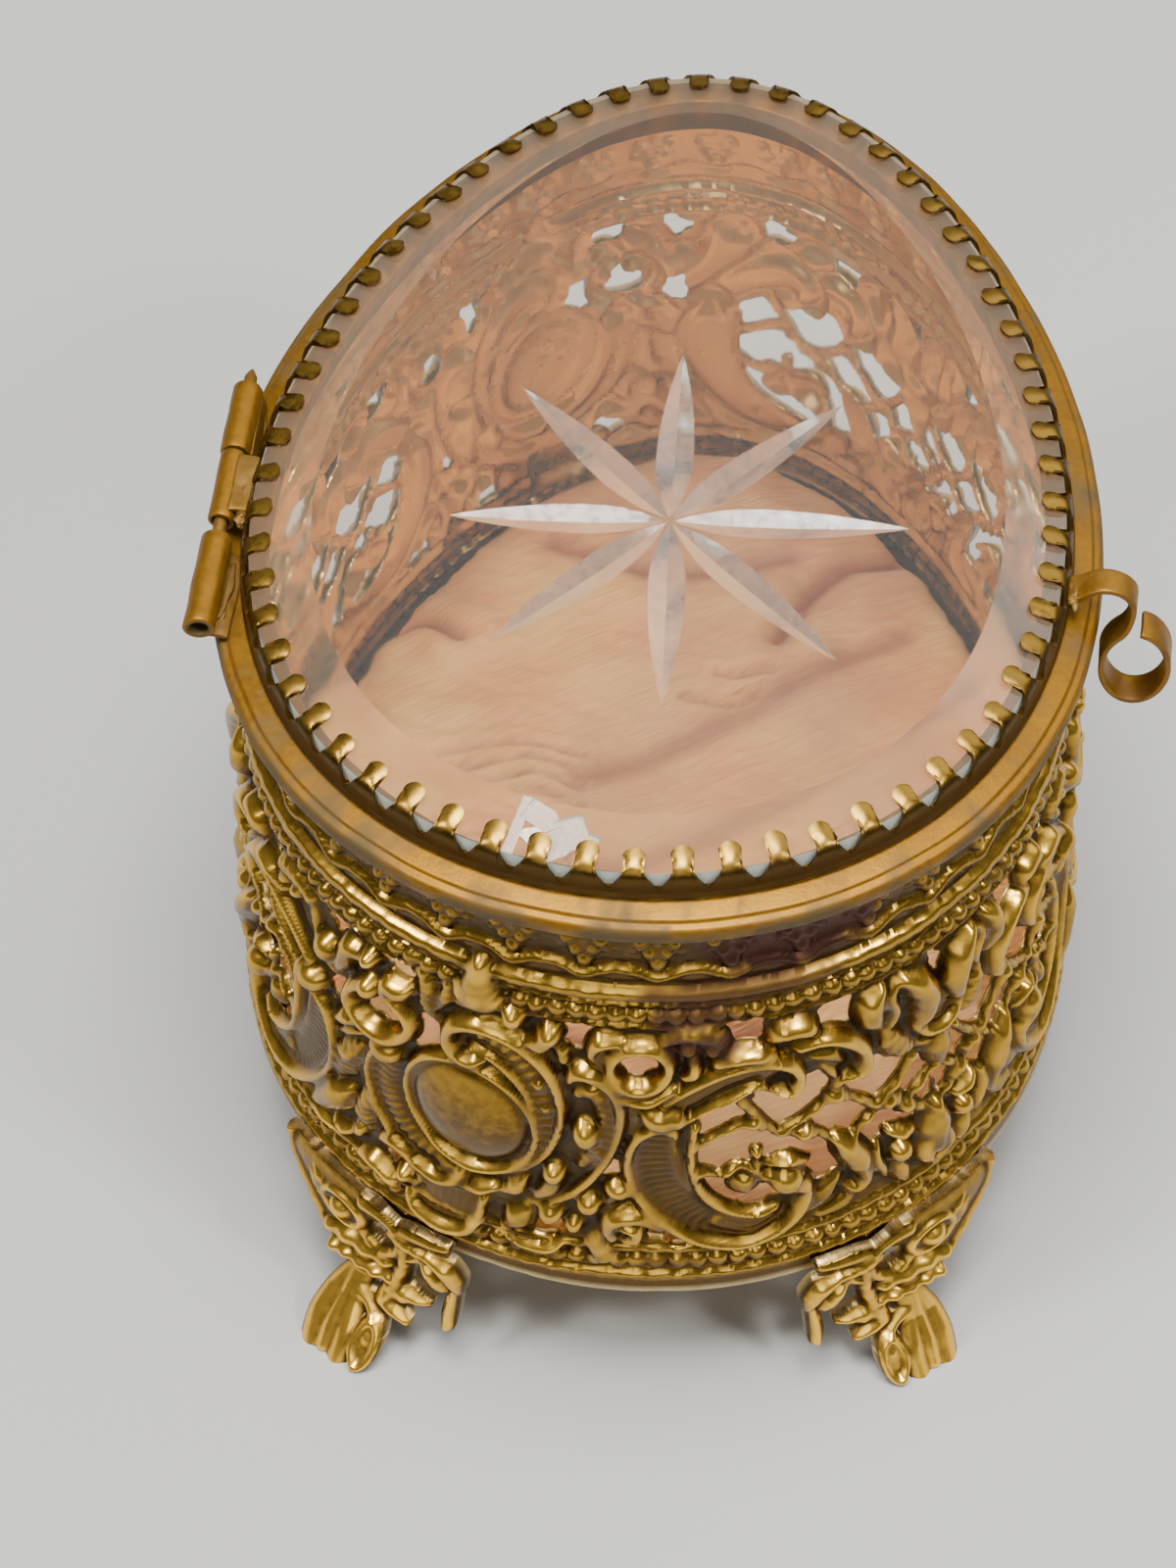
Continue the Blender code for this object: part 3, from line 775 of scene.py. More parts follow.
    def wave_scroll(self, r: Relief) -> None:
        """The wave-shaped scroll, the curls and the ribbed leaves on the cartouche's left."""
        r.dome((-9.3, 45.4), (1.25, 1.3), 1.9)
        r.stroke(
            [(-9.9, 45.2), (-11.2, 43.8), (-11.4, 41.9), (-9.9, 40.4), (-7.6, 40.3), (-5.7, 41.7), (-5.0, 43.6),
             (-5.9, 45.3), (-7.3, 46.5), (-7.0, 47.9), (-5.2, 48.3)],
            (0.8, 0.9, 0.95, 1.0, 1.05, 0.9, 0.75, 0.75, 0.85, 1.0, 0.7), 1.85)
        r.dome((-6.2, 47.7), (1.6, 1.15), 1.9, turn=10.0)
        r.dome((-9.1, 49.4), (1.0, 1.0), 1.9)
        r.stroke([(-9.5, 48.8), (-11.4, 48.6), (-12.1, 46.6), (-12.7, 45.0), (-13.3, 43.8)],
                 (0.7, 1.3, 1.25, 0.9, 0.4), 1.6)
        r.dome((-14.3, 45.9), (1.55, 1.6), 1.9, turn=35.0)
        r.stroke([(-16.8, 50.0), (-16.2, 47.6), (-15.4, 45.4), (-14.2, 43.6), (-13.2, 42.9)],
                 (0.35, 0.45, 0.5, 0.45, 0.3), 1.1)
        r.stroke([(-13.6, 37.0), (-11.8, 38.9), (-9.9, 39.7)], (0.4, 1.15, 0.5), 1.65)
        r.stroke([(-13.4, 35.2), (-11.8, 36.9), (-10.2, 37.8)], (0.35, 0.8, 0.4), 1.1)
        r.stroke([(-13.5, 28.6), (-12.8, 31.4), (-11.5, 34.2), (-10.4, 35.9)], (0.5, 1.8, 1.6, 0.5), 1.15,
                 Chase.LEAF, 1.0, 0.38)
        r.stroke([(-13.2, 33.4), (-11.9, 33.5), (-10.9, 34.7)], (0.4, 0.8, 0.4), 1.5)
        r.stroke([(-9.6, 24.8), (-10.1, 26.8), (-9.7, 28.8), (-9.1, 30.4)], (0.5, 1.6, 1.3, 0.4), 1.45,
                 Chase.LEAF, 0.95, 0.35)
        r.stroke([(-17.2, 21.4), (-15.2, 23.8), (-13.2, 26.4), (-11.8, 28.4)], (0.4, 1.5, 1.9, 0.6), 1.95)
        r.stroke([(-8.4, 25.0), (-7.2, 26.0), (-5.8, 25.6), (-4.5, 23.9), (-4.3, 22.2), (-5.2, 21.0)],
                 (0.5, 0.9, 0.8, 0.6, 0.5, 0.35), 1.6)
        r.stroke([(-11.2, 20.2), (-9.2, 21.1), (-7.3, 20.2), (-6.6, 18.9)], (0.4, 0.9, 0.85, 0.4), 1.7)
        r.dome((-5.9, 21.8), (1.0, 0.95), 1.6)
        r.stroke([(-14.2, 21.6), (-12.6, 21.9), (-11.4, 22.9)], (0.4, 0.8, 0.4), 1.5)
        r.dome((-10.9, 23.4), (0.7, 1.1), 1.2)
        r.stroke([(-13.4, 20.0), (-15.6, 20.2), (-17.8, 19.6)], (0.4, 0.7, 0.4), 1.2)

    def tongue(self, r: Relief) -> None:
        """The fluted shell whose lip laps over the lower beads."""
        r.stroke([(-1.0, 24.8), (-1.4, 22.4), (-1.9, 19.4)], (2.1, 2.6, 2.9), 1.1, Chase.SHELL, 0.72, 0.26)
        r.stroke([(-5.4, 19.9), (-4.4, 18.7), (-1.9, 18.2), (0.2, 18.9), (1.2, 20.8), (1.6, 23.4)],
                 (0.6, 0.95, 1.15, 1.0, 0.6, 0.35), 2.0)
        r.stroke([(-4.4, 22.6), (-4.7, 20.8), (-4.9, 19.6)], (0.3, 0.4, 0.5), 1.2)

    def great_scroll(self, r: Relief, side: float) -> None:
        """The C-scroll that frames the trellis, its fluted channel, its crest and its curls."""

        def band(points: Sequence[Point], halves: Sequence[float], lift: float, *tooling: Any) -> None:
            r.stroke(points, halves, lift, *tooling, mirror=side)

        band([(16.4, 36.8), (16.1, 33.6), (16.6, 30.0), (18.0, 26.8), (20.4, 24.1), (23.6, 22.9)],
             (1.6, 2.3, 2.5, 2.5, 2.3, 1.8), 0.6, Chase.GUTTER, 0.85, 0.42)
        band([(17.9, 36.6), (17.4, 37.6), (16.2, 37.9), (14.7, 36.4), (13.9, 33.6), (14.1, 30.2), (15.3, 26.9),
              (17.2, 24.1), (19.9, 21.7), (23.2, 20.8), (26.2, 21.8), (28.2, 23.9), (28.8, 26.4), (28.2, 28.4)],
             (0.45, 0.6, 0.6, 0.55, 0.55, 0.55, 0.55, 0.6, 0.7, 0.8, 0.85, 0.85, 0.8, 0.4), 1.65)
        band([(19.5, 37.4), (19.1, 34.4), (19.3, 31.0), (20.3, 27.9), (22.2, 25.6), (24.6, 24.4), (26.4, 24.5)],
             (0.35, 0.45, 0.5, 0.5, 0.5, 0.5, 0.3), 1.35)
        band([(21.8, 23.8), (24.2, 22.8), (26.6, 23.9)], (1.2, 1.4, 0.7), 0.85, Chase.SHELL, 0.8, 0.2)
        r.dome((27.0, 28.9), (1.7, 1.85), 2.2, turn=20.0, mirror=side)
        band([(27.4, 28.2), (28.6, 27.0), (28.6, 25.4)], (1.3, 1.0, 0.5), 1.9)
        band([(25.4, 31.0), (27.2, 31.2), (29.0, 30.0)], (0.3, 0.65, 0.3), 1.6)
        band([(17.4, 40.4), (19.2, 41.8), (21.6, 43.6), (24.2, 44.2), (25.8, 43.4)],
             (1.0, 1.3, 1.35, 1.2, 0.8), 0.7, Chase.SHELL, 0.7, 0.3)
        band([(16.8, 41.2), (19.2, 43.6), (22.0, 45.6), (24.8, 46.0), (27.0, 44.9), (28.0, 42.9), (27.6, 41.0),
              (26.2, 41.0)],
             (0.45, 0.55, 0.75, 0.85, 0.85, 0.8, 0.75, 0.45), 1.8)
        band([(18.2, 38.4), (20.3, 40.2), (22.6, 41.5), (24.6, 42.4), (25.6, 41.2)],
             (0.4, 0.5, 0.5, 0.45, 0.3), 1.3)
        r.dome((16.6, 39.5), (1.9, 1.5), 2.0, turn=-12.0, mirror=side)
        r.dome((18.0, 39.3), (0.8, 1.2), 1.7, mirror=side)
        band([(21.0, 46.3), (22.6, 47.3), (24.6, 47.0), (26.0, 46.4)], (0.5, 0.95, 0.9, 0.4), 1.9)
        band([(25.2, 48.0), (26.6, 49.2), (28.6, 48.9), (29.6, 47.6)], (0.3, 1.15, 1.15, 0.4), 1.7)
        band([(16.8, 49.6), (18.6, 50.4), (20.8, 49.8), (22.0, 48.3)], (0.8, 1.15, 1.25, 0.6), 1.4,
             Chase.LEAF, 0.8, 0.35)
        r.dome((18.8, 48.6), (0.95, 0.9), 1.4, mirror=side)
        r.dome((20.8, 48.2), (0.85, 0.8), 1.4, mirror=side)
        band([(27.8, 46.1), (29.8, 46.9), (32.0, 45.7), (33.7, 43.2), (33.8, 40.8), (32.2, 39.8)],
             (0.45, 0.85, 1.0, 0.95, 0.9, 0.5), 1.85)
        band([(29.2, 44.0), (30.9, 43.6), (32.2, 41.8)], (0.4, 1.0, 0.4), 0.9)
        band([(30.2, 42.6), (31.0, 41.4), (31.4, 40.2)], (0.4, 0.6, 0.4), 1.0)

    def trellis(self, r: Relief, side: float) -> None:
        """The lattice of notched twigs, knotted where they cross."""
        bars = (
            ((22.6, 41.2), (24.4, 38.2), (26.2, 35.3), (29.2, 33.9), (31.0, 31.9), (32.0, 30.4)),
            ((19.3, 34.8), (21.6, 36.2), (23.8, 37.3), (24.8, 36.4)),
            ((26.4, 35.0), (28.6, 36.0), (30.9, 37.9), (31.6, 39.6)),
            ((30.9, 38.2), (33.6, 35.8), (35.4, 33.7), (37.6, 33.2)),
            ((35.2, 34.0), (37.3, 35.4), (39.0, 37.8)),
            ((33.0, 31.0), (34.4, 32.4), (36.2, 33.6)),
            ((37.0, 33.2), (38.6, 30.8), (40.4, 29.5), (41.6, 29.0)),
            ((37.9, 31.7), (39.6, 33.0), (41.6, 34.4)),
            ((19.8, 31.2), (21.6, 30.4), (23.0, 31.2), (24.8, 30.2)),
            ((24.6, 32.8), (24.6, 30.8), (24.0, 29.2)),
        )
        for number, bar in enumerate(bars):
            r.stroke(bar, (0.5, 0.36, 0.46, 0.34, 0.48), 1.0, Chase.ROPE, 1.5 + 0.13 * number, 0.12,
                     mirror=side)
        for knot in ((28.6, 34.1), (36.4, 33.6), (24.2, 37.3), (31.4, 37.8), (38.4, 31.4)):
            r.dome(knot, (0.95, 0.7), 1.3, turn=25.0, mirror=side)
            r.dome((knot[0] + 0.7, knot[1] - 0.5), (0.6, 0.5), 1.15, mirror=side)
        r.dome((23.6, 28.8), (1.5, 1.4), 1.1, ribs=7, bite=0.35, mirror=side)
        r.dome((25.2, 29.6), (0.8, 0.7), 1.2, mirror=side)

    def bouquet(self, r: Relief, side: float) -> None:
        """Half of the hanging bouquet between two panels."""

        def leaf(points: Sequence[Point], halves: Sequence[float], lift: float, *tooling: Any) -> None:
            r.stroke(points, halves, lift, *tooling, mirror=side)

        leaf([(37.6, 49.6), (39.0, 48.0), (39.8, 46.0), (39.6, 43.8), (38.8, 42.2)],
             (0.8, 1.6, 1.75, 1.3, 0.5), 2.2)
        leaf([(36.4, 44.2), (36.8, 46.2), (36.2, 48.2), (37.0, 49.8)], (0.5, 0.8, 0.9, 0.5), 1.4)
        leaf([(35.4, 50.0), (34.5, 48.8), (34.4, 47.0), (35.4, 45.0)], (0.7, 1.5, 1.5, 0.5), 1.9)
        leaf([(38.8, 42.4), (40.0, 40.9), (41.8, 40.4)], (0.5, 0.7, 0.8), 1.75)
        leaf([(39.6, 43.0), (41.8, 42.6)], (1.2, 1.9), 1.0, Chase.SHELL, 0.7, 0.24)
        leaf([(36.0, 43.8), (36.4, 42.2), (37.4, 40.6), (38.6, 39.8)], (0.5, 1.3, 1.5, 0.8), 1.35,
             Chase.LEAF, 1.1, 0.2)
        leaf([(41.8, 39.2), (41.8, 37.9), (41.8, 36.3)], (1.3, 2.0, 1.5), 1.85)
        leaf([(41.8, 28.6), (41.8, 26.4), (41.8, 24.0)], (1.4, 2.3, 1.9), 2.1)
        leaf([(40.6, 25.4), (40.2, 23.2), (41.4, 21.0)], (0.7, 1.05, 0.5), 1.8)
        leaf([(38.9, 28.0), (37.6, 28.4), (36.6, 29.2)], (0.5, 0.85, 0.5), 1.6)
        r.dome((37.8, 25.5), (1.3, 1.3), 1.6, mirror=side)
        leaf([(37.4, 24.0), (37.8, 22.7), (38.2, 21.4)], (0.8, 1.15, 0.8), 1.4)
        leaf([(35.3, 28.2), (35.2, 26.4), (35.8, 24.8), (36.2, 23.2)], (0.4, 0.75, 0.7, 0.4), 1.5)
        leaf([(31.4, 32.0), (32.4, 30.2), (33.4, 28.0), (34.0, 26.0)], (0.6, 1.35, 1.5, 0.9), 2.05)
        leaf([(33.7, 27.0), (34.2, 25.0), (33.4, 23.6), (32.6, 24.2)], (1.1, 0.85, 0.6, 0.35), 1.8)
        leaf([(28.6, 22.4), (30.2, 24.2), (31.6, 25.8)], (0.6, 1.6, 0.7), 1.0)
        leaf([(30.2, 21.6), (32.2, 22.2), (33.6, 23.8)], (0.8, 1.2, 0.6), 1.0)
        leaf([(40.4, 39.0), (39.2, 39.4)], (0.7, 0.5), 1.0)

    def pierce(self, r: Relief) -> None:
        """The open places between the motifs, and the trellis windows."""
        for centre, size, turn in (
            ((9.6, 48.9), (1.5, 2.4), 5.0), ((-6.3, 50.0), (1.7, 1.3), 0.0), ((-13.4, 49.5), (1.3, 1.3), 20.0),
            ((-8.2, 43.6), (1.8, 2.6), 20.0), ((-3.3, 42.9), (1.3, 3.2), -22.0), ((-13.0, 41.4), (1.3, 2.9), -15.0),
            ((14.9, 46.2), (1.6, 2.1), -8.0), ((12.9, 31.8), (1.6, 2.6), -25.0), ((-6.5, 22.9), (1.7, 1.6), 30.0),
            ((7.2, 22.0), (1.7, 1.7), 0.0), ((16.9, 22.5), (2.2, 1.0), -25.0), ((2.6, 51.4), (0.4, 0.4), 0.0),
        ):
            r.opening(centre, size, turn)
        for side in (-1.0, 1.0):
            r.opening((22.3, 33.5), (3.1, 7.6), 0.0, 2.6, side)
            r.opening((28.6, 35.2), (5.6, 6.4), 0.0, 2.6, side)
            r.opening((36.6, 34.4), (5.2, 6.0), 0.0, 3.0, side)
            r.opening((24.6, 26.6), (2.6, 1.4), -20.0, 2.0, side)
            r.opening((30.6, 28.4), (1.6, 2.8), 10.0, 2.0, side)
            r.opening((23.6, 49.8), (1.7, 1.6), 0.0, 2.0, side)
            r.opening((31.6, 48.6), (1.9, 2.0), 0.0, 2.0, side)
            r.opening((41.9, 46.6), (1.6, 3.9), 0.0, 2.0, side)
            r.opening((35.6, 30.9), (1.7, 1.6), 0.0, 2.0, side)


@dataclass(frozen=True)
class FootWork:
    """The chased foot: a boss between a smooth knee and a leafy wing, crossed twigs, and a fluted leaf toe.

    Places are (along the wall from the foot's middle, height).  The knee is on the positive side.
    """

    half: float = 11.6
    top: float = 16.3
    flange: float = 0.1
    step: float = 0.08

    def draw(self) -> Relief:
        """Chase the whole foot."""
        across = np.arange(-self.half, self.half + self.step, self.step)
        r = Relief(across, np.arange(-0.8, self.top + self.step, self.step))
        self.knee(r)
        self.boss(r)
        self.wing(r)
        self.toe(r)
        return r

    def knee(self, r: Relief) -> None:
        """The smooth shield on the outer side, its rolled edge, and the fan of flutes beside the boss."""
        r.stroke([(1.2, 14.9), (4.4, 14.3), (7.6, 13.9), (9.4, 14.4)], (1.4, 1.9, 2.3, 1.9), 0.55)
        r.stroke([(8.0, 13.4), (6.6, 11.4), (5.0, 9.4)], (2.2, 1.9, 1.2), 0.55)
        r.stroke([(10.7, 16.2), (10.4, 14.4), (9.4, 12.4), (7.6, 10.4), (5.9, 8.6)],
                 (0.5, 0.5, 0.55, 0.6, 0.6), 0.85,
                 Chase.ROPE, 2.4, 0.07)
        for end, half in (((7.4, 15.1), 0.6), ((8.1, 14.0), 0.65), ((7.9, 12.7), 0.65), ((7.1, 11.6), 0.55)):
            r.stroke([(5.2, 13.2), (0.4 * 5.2 + 0.6 * end[0], 0.4 * 13.2 + 0.6 * end[1]), end],
                     (0.3, half, 0.25), 1.05)

    def boss(self, r: Relief) -> None:
        """The ball in its ring, the hoop round the pierced eye, and the two twisted bars under them."""
        r.dome((3.8, 13.0), (2.5, 2.2), 0.7, power=3.0)
        r.ring((3.8, 13.0), (2.1, 1.8), 0.42, 1.15)
        r.dome((3.9, 12.95), (1.35, 1.2), 1.65)
        r.stroke([(1.7, 15.4), (0.2, 15.2), (-1.4, 14.5)], (0.8, 0.5, 0.45), 0.8)
        r.stroke([(-1.5, 14.4), (-1.9, 12.8), (-1.5, 11.2), (-0.3, 10.3)], (0.45, 0.5, 0.55, 0.6), 0.9)
        r.stroke([(1.9, 11.6), (1.4, 10.9), (0.6, 10.5)], (0.6, 0.5, 0.5), 0.9)
        r.stroke([(-0.9, 9.7), (1.2, 9.6), (3.2, 9.4), (5.2, 8.9)], (0.8, 1.05, 1.05, 0.8), 1.35, Chase.ROPE,
                 2.1, 0.09)
        r.stroke([(-1.4, 8.1), (0.4, 7.6), (2.4, 7.6), (4.4, 7.2)], (0.65, 0.65, 0.7, 0.75), 1.25,
                 Chase.ROPE, 1.5, 0.12)

    def wing(self, r: Relief) -> None:
        """The leaf under the pan, the slanted twig, and the three hung pods."""
        r.stroke([(-1.2, 14.3), (-3.0, 14.9), (-4.9, 15.2), (-6.2, 15.4)], (0.5, 0.7, 0.6, 0.4), 0.6)
        r.stroke([(-1.0, 13.9), (-2.6, 13.7), (-4.6, 13.3)], (0.4, 1.0, 0.6), 1.15, Chase.LEAF, 0.9, 0.14)
        r.stroke([(-2.3, 12.7), (-2.4, 10.6), (-2.0, 8.4), (-1.3, 6.0)], (0.45, 0.65, 0.75, 0.65), 1.1,
                 Chase.LEAF, 1.6, 0.08)
        r.stroke([(-4.6, 13.3), (-3.6, 12.0), (-2.4, 11.2)], (0.4, 0.4, 0.45), 0.8)
        r.stroke([(-4.9, 13.4), (-6.2, 12.8), (-7.0, 11.6), (-7.4, 10.2)], (0.6, 1.05, 0.9, 0.35), 1.3)
        r.stroke([(-4.3, 12.1), (-4.8, 11.4), (-5.5, 10.5), (-6.2, 9.8)], (0.45, 0.8, 0.8, 0.45), 1.15)
        r.stroke([(-7.1, 9.9), (-6.9, 8.6), (-6.8, 7.0), (-6.9, 6.2)], (0.35, 0.55, 0.6, 0.5), 1.15)

    def toe(self, r: Relief) -> None:
        """The leaf pair beside the ankle, the fluted palm and its rimmed disc."""
        r.stroke([(-1.3, 6.6), (-2.8, 7.0), (-4.9, 6.9)], (0.7, 1.0, 0.2), 1.1, Chase.LEAF, 1.4, 0.08)
        r.stroke([(-1.1, 5.6), (-2.3, 5.4), (-3.6, 4.8)], (0.6, 0.75, 0.25), 0.9)
        r.stroke([(1.6, 8.0), (1.5, 6.6), (1.5, 5.2)], (1.4, 1.2, 1.1), 0.8)
        r.stroke([(1.5, 6.8), (0.9, 4.4), (0.4, 2.0), (0.3, -0.7)], (0.55, 0.8, 0.85, 0.7), 0.85)
        r.stroke([(1.8, 6.8), (1.7, 4.4), (1.6, 2.0), (1.5, 0.4)], (0.45, 0.6, 0.7, 0.6), 1.0)
        r.stroke([(2.2, 6.6), (2.8, 4.2), (2.9, 2.0), (2.5, -0.7)], (0.5, 0.85, 0.95, 0.8), 0.85)
        r.stroke([(0.9, 5.4), (-0.1, 4.9), (-1.0, 4.2)], (0.5, 0.45, 0.4), 0.8)
        r.dome((-1.35, 2.25), (0.95, 1.95), 0.45)
        r.ring((-1.35, 2.25), (0.85, 1.75), 0.32, 1.05)
        r.dome((-1.35, 2.9), (0.45, 0.75), 0.75)


@dataclass
class ChasedSheet:
    """Part of a sheet pierced and chased after a relief, with its plainer back."""

    name: str
    low: Point
    high: Point
    step: float

    def grid(self) -> bpy.types.Object:
        """A fine flat grid, in the sheet's own millimetres."""
        size = np.array(self.high) - np.array(self.low)
        columns, rows = (max(2, round(side / self.step)) for side in size)
        sheet = start(self.name, bpy.ops.mesh.primitive_grid_add, x_subdivisions=columns, y_subdivisions=rows,
                      size=1.0)
        points = points_of(sheet)
        points[:, :2] = np.array(self.low) + (points[:, :2] + 0.5) * size
        move_points(sheet, points)
        return sheet

    def cut(self, sheet: bpy.types.Object, metal: Any) -> None:
        """Cut the open places away and draw the cut edges onto their true outline.

        Args:
            sheet: The flat grid.
            metal: A function from places to how far inside the metal they are.
        """
        points = points_of(sheet)
        inside = metal(points[:, 0], points[:, 1])
        corners = np.empty(len(sheet.data.polygons) * 4, int)
        sheet.data.polygons.foreach_get("vertices", corners)
        deepest = inside[corners.reshape(-1, 4)]
        drop_faces(sheet, (deepest.max(axis=1) <= 0.0) | (deepest.mean(axis=1) < -0.35 * self.step))
        points = points_of(sheet)
        for _ in range(2):
            x, y = points[:, :2].copy().T
            inside = metal(x, y)
            reach = 0.3 * self.step
            slope_x, slope_y = (
                (metal(x + right, y + up) - metal(x - right, y - up)) / (2 * reach)
                for right, up in ((reach, 0.0), (0.0, reach))
            )
            steep = np.maximum(slope_x**2 + slope_y**2, 0.2)
            push = np.where(inside < 0.0, -inside / steep, 0.0)
            push = np.minimum(push, 0.9 * self.step / np.sqrt(steep))
            points[:, 0] += push * slope_x
            points[:, 1] += push * slope_y
        points[:, :2] = np.clip(points[:, :2], self.low, self.high)
        move_points(sheet, points)

    def give_back(self, sheet: bpy.types.Object, front: np.ndarray, back: np.ndarray) -> np.ndarray:
        """Give the sheet a back and cut edges, and put both faces where they belong.

        Args:
            sheet: The pierced front, still flat.
            front: Where its points go.
            back: Where the same points of its back go.

        Returns:
            One for each vertex of the back, zero for the front.
        """
        apply_modifier(sheet, "SOLIDIFY", thickness=0.3, offset=-1.0, use_even_offset=False)
        move_points(sheet, np.vstack([front, back]))
        return np.repeat([0.0, 1.0], len(front))


def dress_relief(thing: bpy.types.Object, raised: np.ndarray, hollow: np.ndarray, stain: np.ndarray | float = 0.0,
                 inside: np.ndarray | float = 0.0) -> None:
    """Store what the brass finishes read.

    Args:
        thing: The piece.
        raised: How far each place is worn bright, with painted highlight where a piece adds it on faces that look up,
            0 to 1.
        hollow: How much dirt and painted shade darken each place, 0 to 1; 0.5 is an even surface.
        stain: How dark old dye has turned it, 0 to 1.
        inside: 1 on the back of the sheet.
    """
    count = len(thing.data.vertices)
    for name, values in (("raised", raised), ("hollow", hollow), ("stain", stain), ("inside", inside)):
        paint(thing, name, np.broadcast_to(np.asarray(values, float), (count,)))


def facing_up(thing: bpy.types.Object) -> np.ndarray:
    """How far each point of a mesh faces up, from -1 to 1."""
    normals = np.empty(3 * len(thing.data.vertices))
    thing.data.vertex_normals.foreach_get("vector", normals)
    return normals[2::3]


@dataclass
class Gallery:
    """The stamped side strip: mouldings, bead rows, frieze, and pierced rocaille between them."""

    bottom: float = 16.0
    top: float = 66.4
    seam: float = -60.5
    sheet: float = 0.38
    fine_step: float = 0.25
    coarse_step: float = 0.36
    cuts: tuple[float, ...] = (-23.0, 14.0, 51.0, 88.0, 138.0)
    coarse_from: float = 80.0
    lean: tuple[Point, ...] = (
        (15.0, 1.9), (17.2, 1.75), (20.9, 1.5), (35.0, 1.0), (50.5, 0.35), (53.5, 0.25), (57.0, 0.0),
        (58.4, -0.4), (67.0, -0.4),
    )
    stations: tuple[Point, ...] = (
        (-62.0, -50.6), (-53.0, -41.5), (-12.0, 0.0), (29.0, 41.5), (66.0, 83.0), (101.5, 124.5),
        (141.0, 166.0), (181.0, 207.5), (190.0, 216.6),
    )
    cluster_first: float = -1.9
    cluster_pitch: float = 6.02
    balls: tuple[tuple[float, float, float, float], ...] = (
        (-1.4, 61.3, 0.68, 0.6), (1.4, 61.3, 0.66, 0.6), (0.0, 61.6, 0.5, 0.45), (-0.7, 60.1, 0.66, 0.65),
        (0.72, 60.15, 0.64, 0.62), (0.0, 58.8, 0.78, 0.75), (-1.95, 60.3, 0.4, 0.3), (1.95, 60.3, 0.4, 0.3),
    )
    stains: tuple[tuple[float, float, float, float, float], ...] = (
        (15.5, 60.2, 8.2, 3.6, 1.0), (11.5, 55.2, 8.5, 1.7, 0.8), (6.5, 52.6, 4.2, 2.0, 0.85),
        (7.5, 48.8, 3.4, 2.4, 0.9), (5.0, 18.2, 3.0, 1.0, 0.55), (36.5, 52.9, 1.6, 1.0, 0.4),
    )
    height: Raster = field(init=False)
    metal: Raster = field(init=False)
    hollow: Raster = field(init=False)
    soft: Raster = field(init=False)

    def chase(self) -> None:
        """Chase one repeat and keep its height, its outline and its hollows."""
        unit = RocailleUnit()
        relief = unit.draw()
        relief.height = box_blur(relief.height, relief.across, 0.18)
        border = np.where((relief.up < unit.low) | (relief.up > unit.high), 9.0, -9.0)[None, :]
        metal = np.maximum(relief.metal(unit.flange), border)
        held = joined_to(metal > 0.0, np.broadcast_to(border > 0.0, metal.shape))
        metal = np.where((metal > 0.0) & ~held, -1.0, metal)
        self.height = Raster(relief.across, relief.up, relief.height)
        self.metal = Raster(relief.across, relief.up, metal)
        self.hollow = Raster(relief.across, relief.up, relief.hollows(0.55))
        self.soft = Raster(relief.across, relief.up, box_blur(relief.height, relief.across, 0.4))

    def unit_across(self, distance: np.ndarray) -> np.ndarray:
        """Where a place along the strip falls in the repeat."""
        run, place = np.array(self.stations).T
        half = RocailleUnit.half
        return (np.interp(distance, run, place) + half) % (2.0 * half) - half

    def base(self, up: np.ndarray) -> np.ndarray:
        """The strip's lean: its grow before any work is raised on it."""
        heights, grows = np.array(self.lean).T
        return np.interp(up, heights, grows)

    def beads(self, s: np.ndarray, z: np.ndarray, level: np.ndarray, pitch: float, radius: float) -> np.ndarray:
        """A row of struck beads that vary a little in place and size, one high."""
        count = np.floor(s / pitch)
        chance = np.sin(count * 12.9898 + pitch) * 43758.5453
        chance = chance - np.floor(chance)
        middle = (count + 0.5 + 0.12 * (chance - 0.5)) * pitch
        size = radius * (0.92 + 0.14 * chance)
        away = np.hypot((s - middle) / 1.04, z - level - 0.12 * (chance - 0.5))
        return np.sqrt(np.clip(1.0 - (away / size) ** 2, 0.0, 1.0))

    def mouldings(self, s: np.ndarray, z: np.ndarray) -> np.ndarray:
        """The ridges, beads, rib and frieze that run the whole way round."""
        drift = uneven(np.column_stack([s]), 26.0, 5) * 0.16
        wave = 0.07 * np.sin(FULL_TURN * s / 2.05) + 0.05 * uneven(np.column_stack([s]), 1.7, 6) + drift
        fine_wave = 0.06 * np.sin(FULL_TURN * s / 1.8) + drift
        parts = (
            0.85 * bump(z, 16.55 + wave, 0.5), 0.25 * bump(z, 17.2, 0.5),
            0.9 * self.beads(s, z, 18.35 + drift, 1.66, 0.9), 0.4 * bump(z, 18.35 + drift, 0.6),
            0.85 * bump(z, 20.3 + wave, 0.52), 0.3 * bump(z, 20.7 + wave, 1.0),
            0.85 * self.beads(s, z, 52.5 + drift, 1.62, 0.88), 0.4 * bump(z, 52.5 + drift, 0.6),
            0.5 * bump(z, 51.0 + fine_wave, 0.36), 0.45 * bump(z, 53.8 + fine_wave, 0.32),
            0.9 * bump(z, 55.35 + 0.6 * drift, 0.8), self.frieze(s, z),
        )
        flat = np.column_stack([s, z])
        chased = 0.05 * uneven(flat, 5.0, 9) + 0.05 * uneven(flat, 1.5, 10) + 0.025 * uneven(flat, 0.75, 11)
        return np.maximum.reduce(parts) + chased

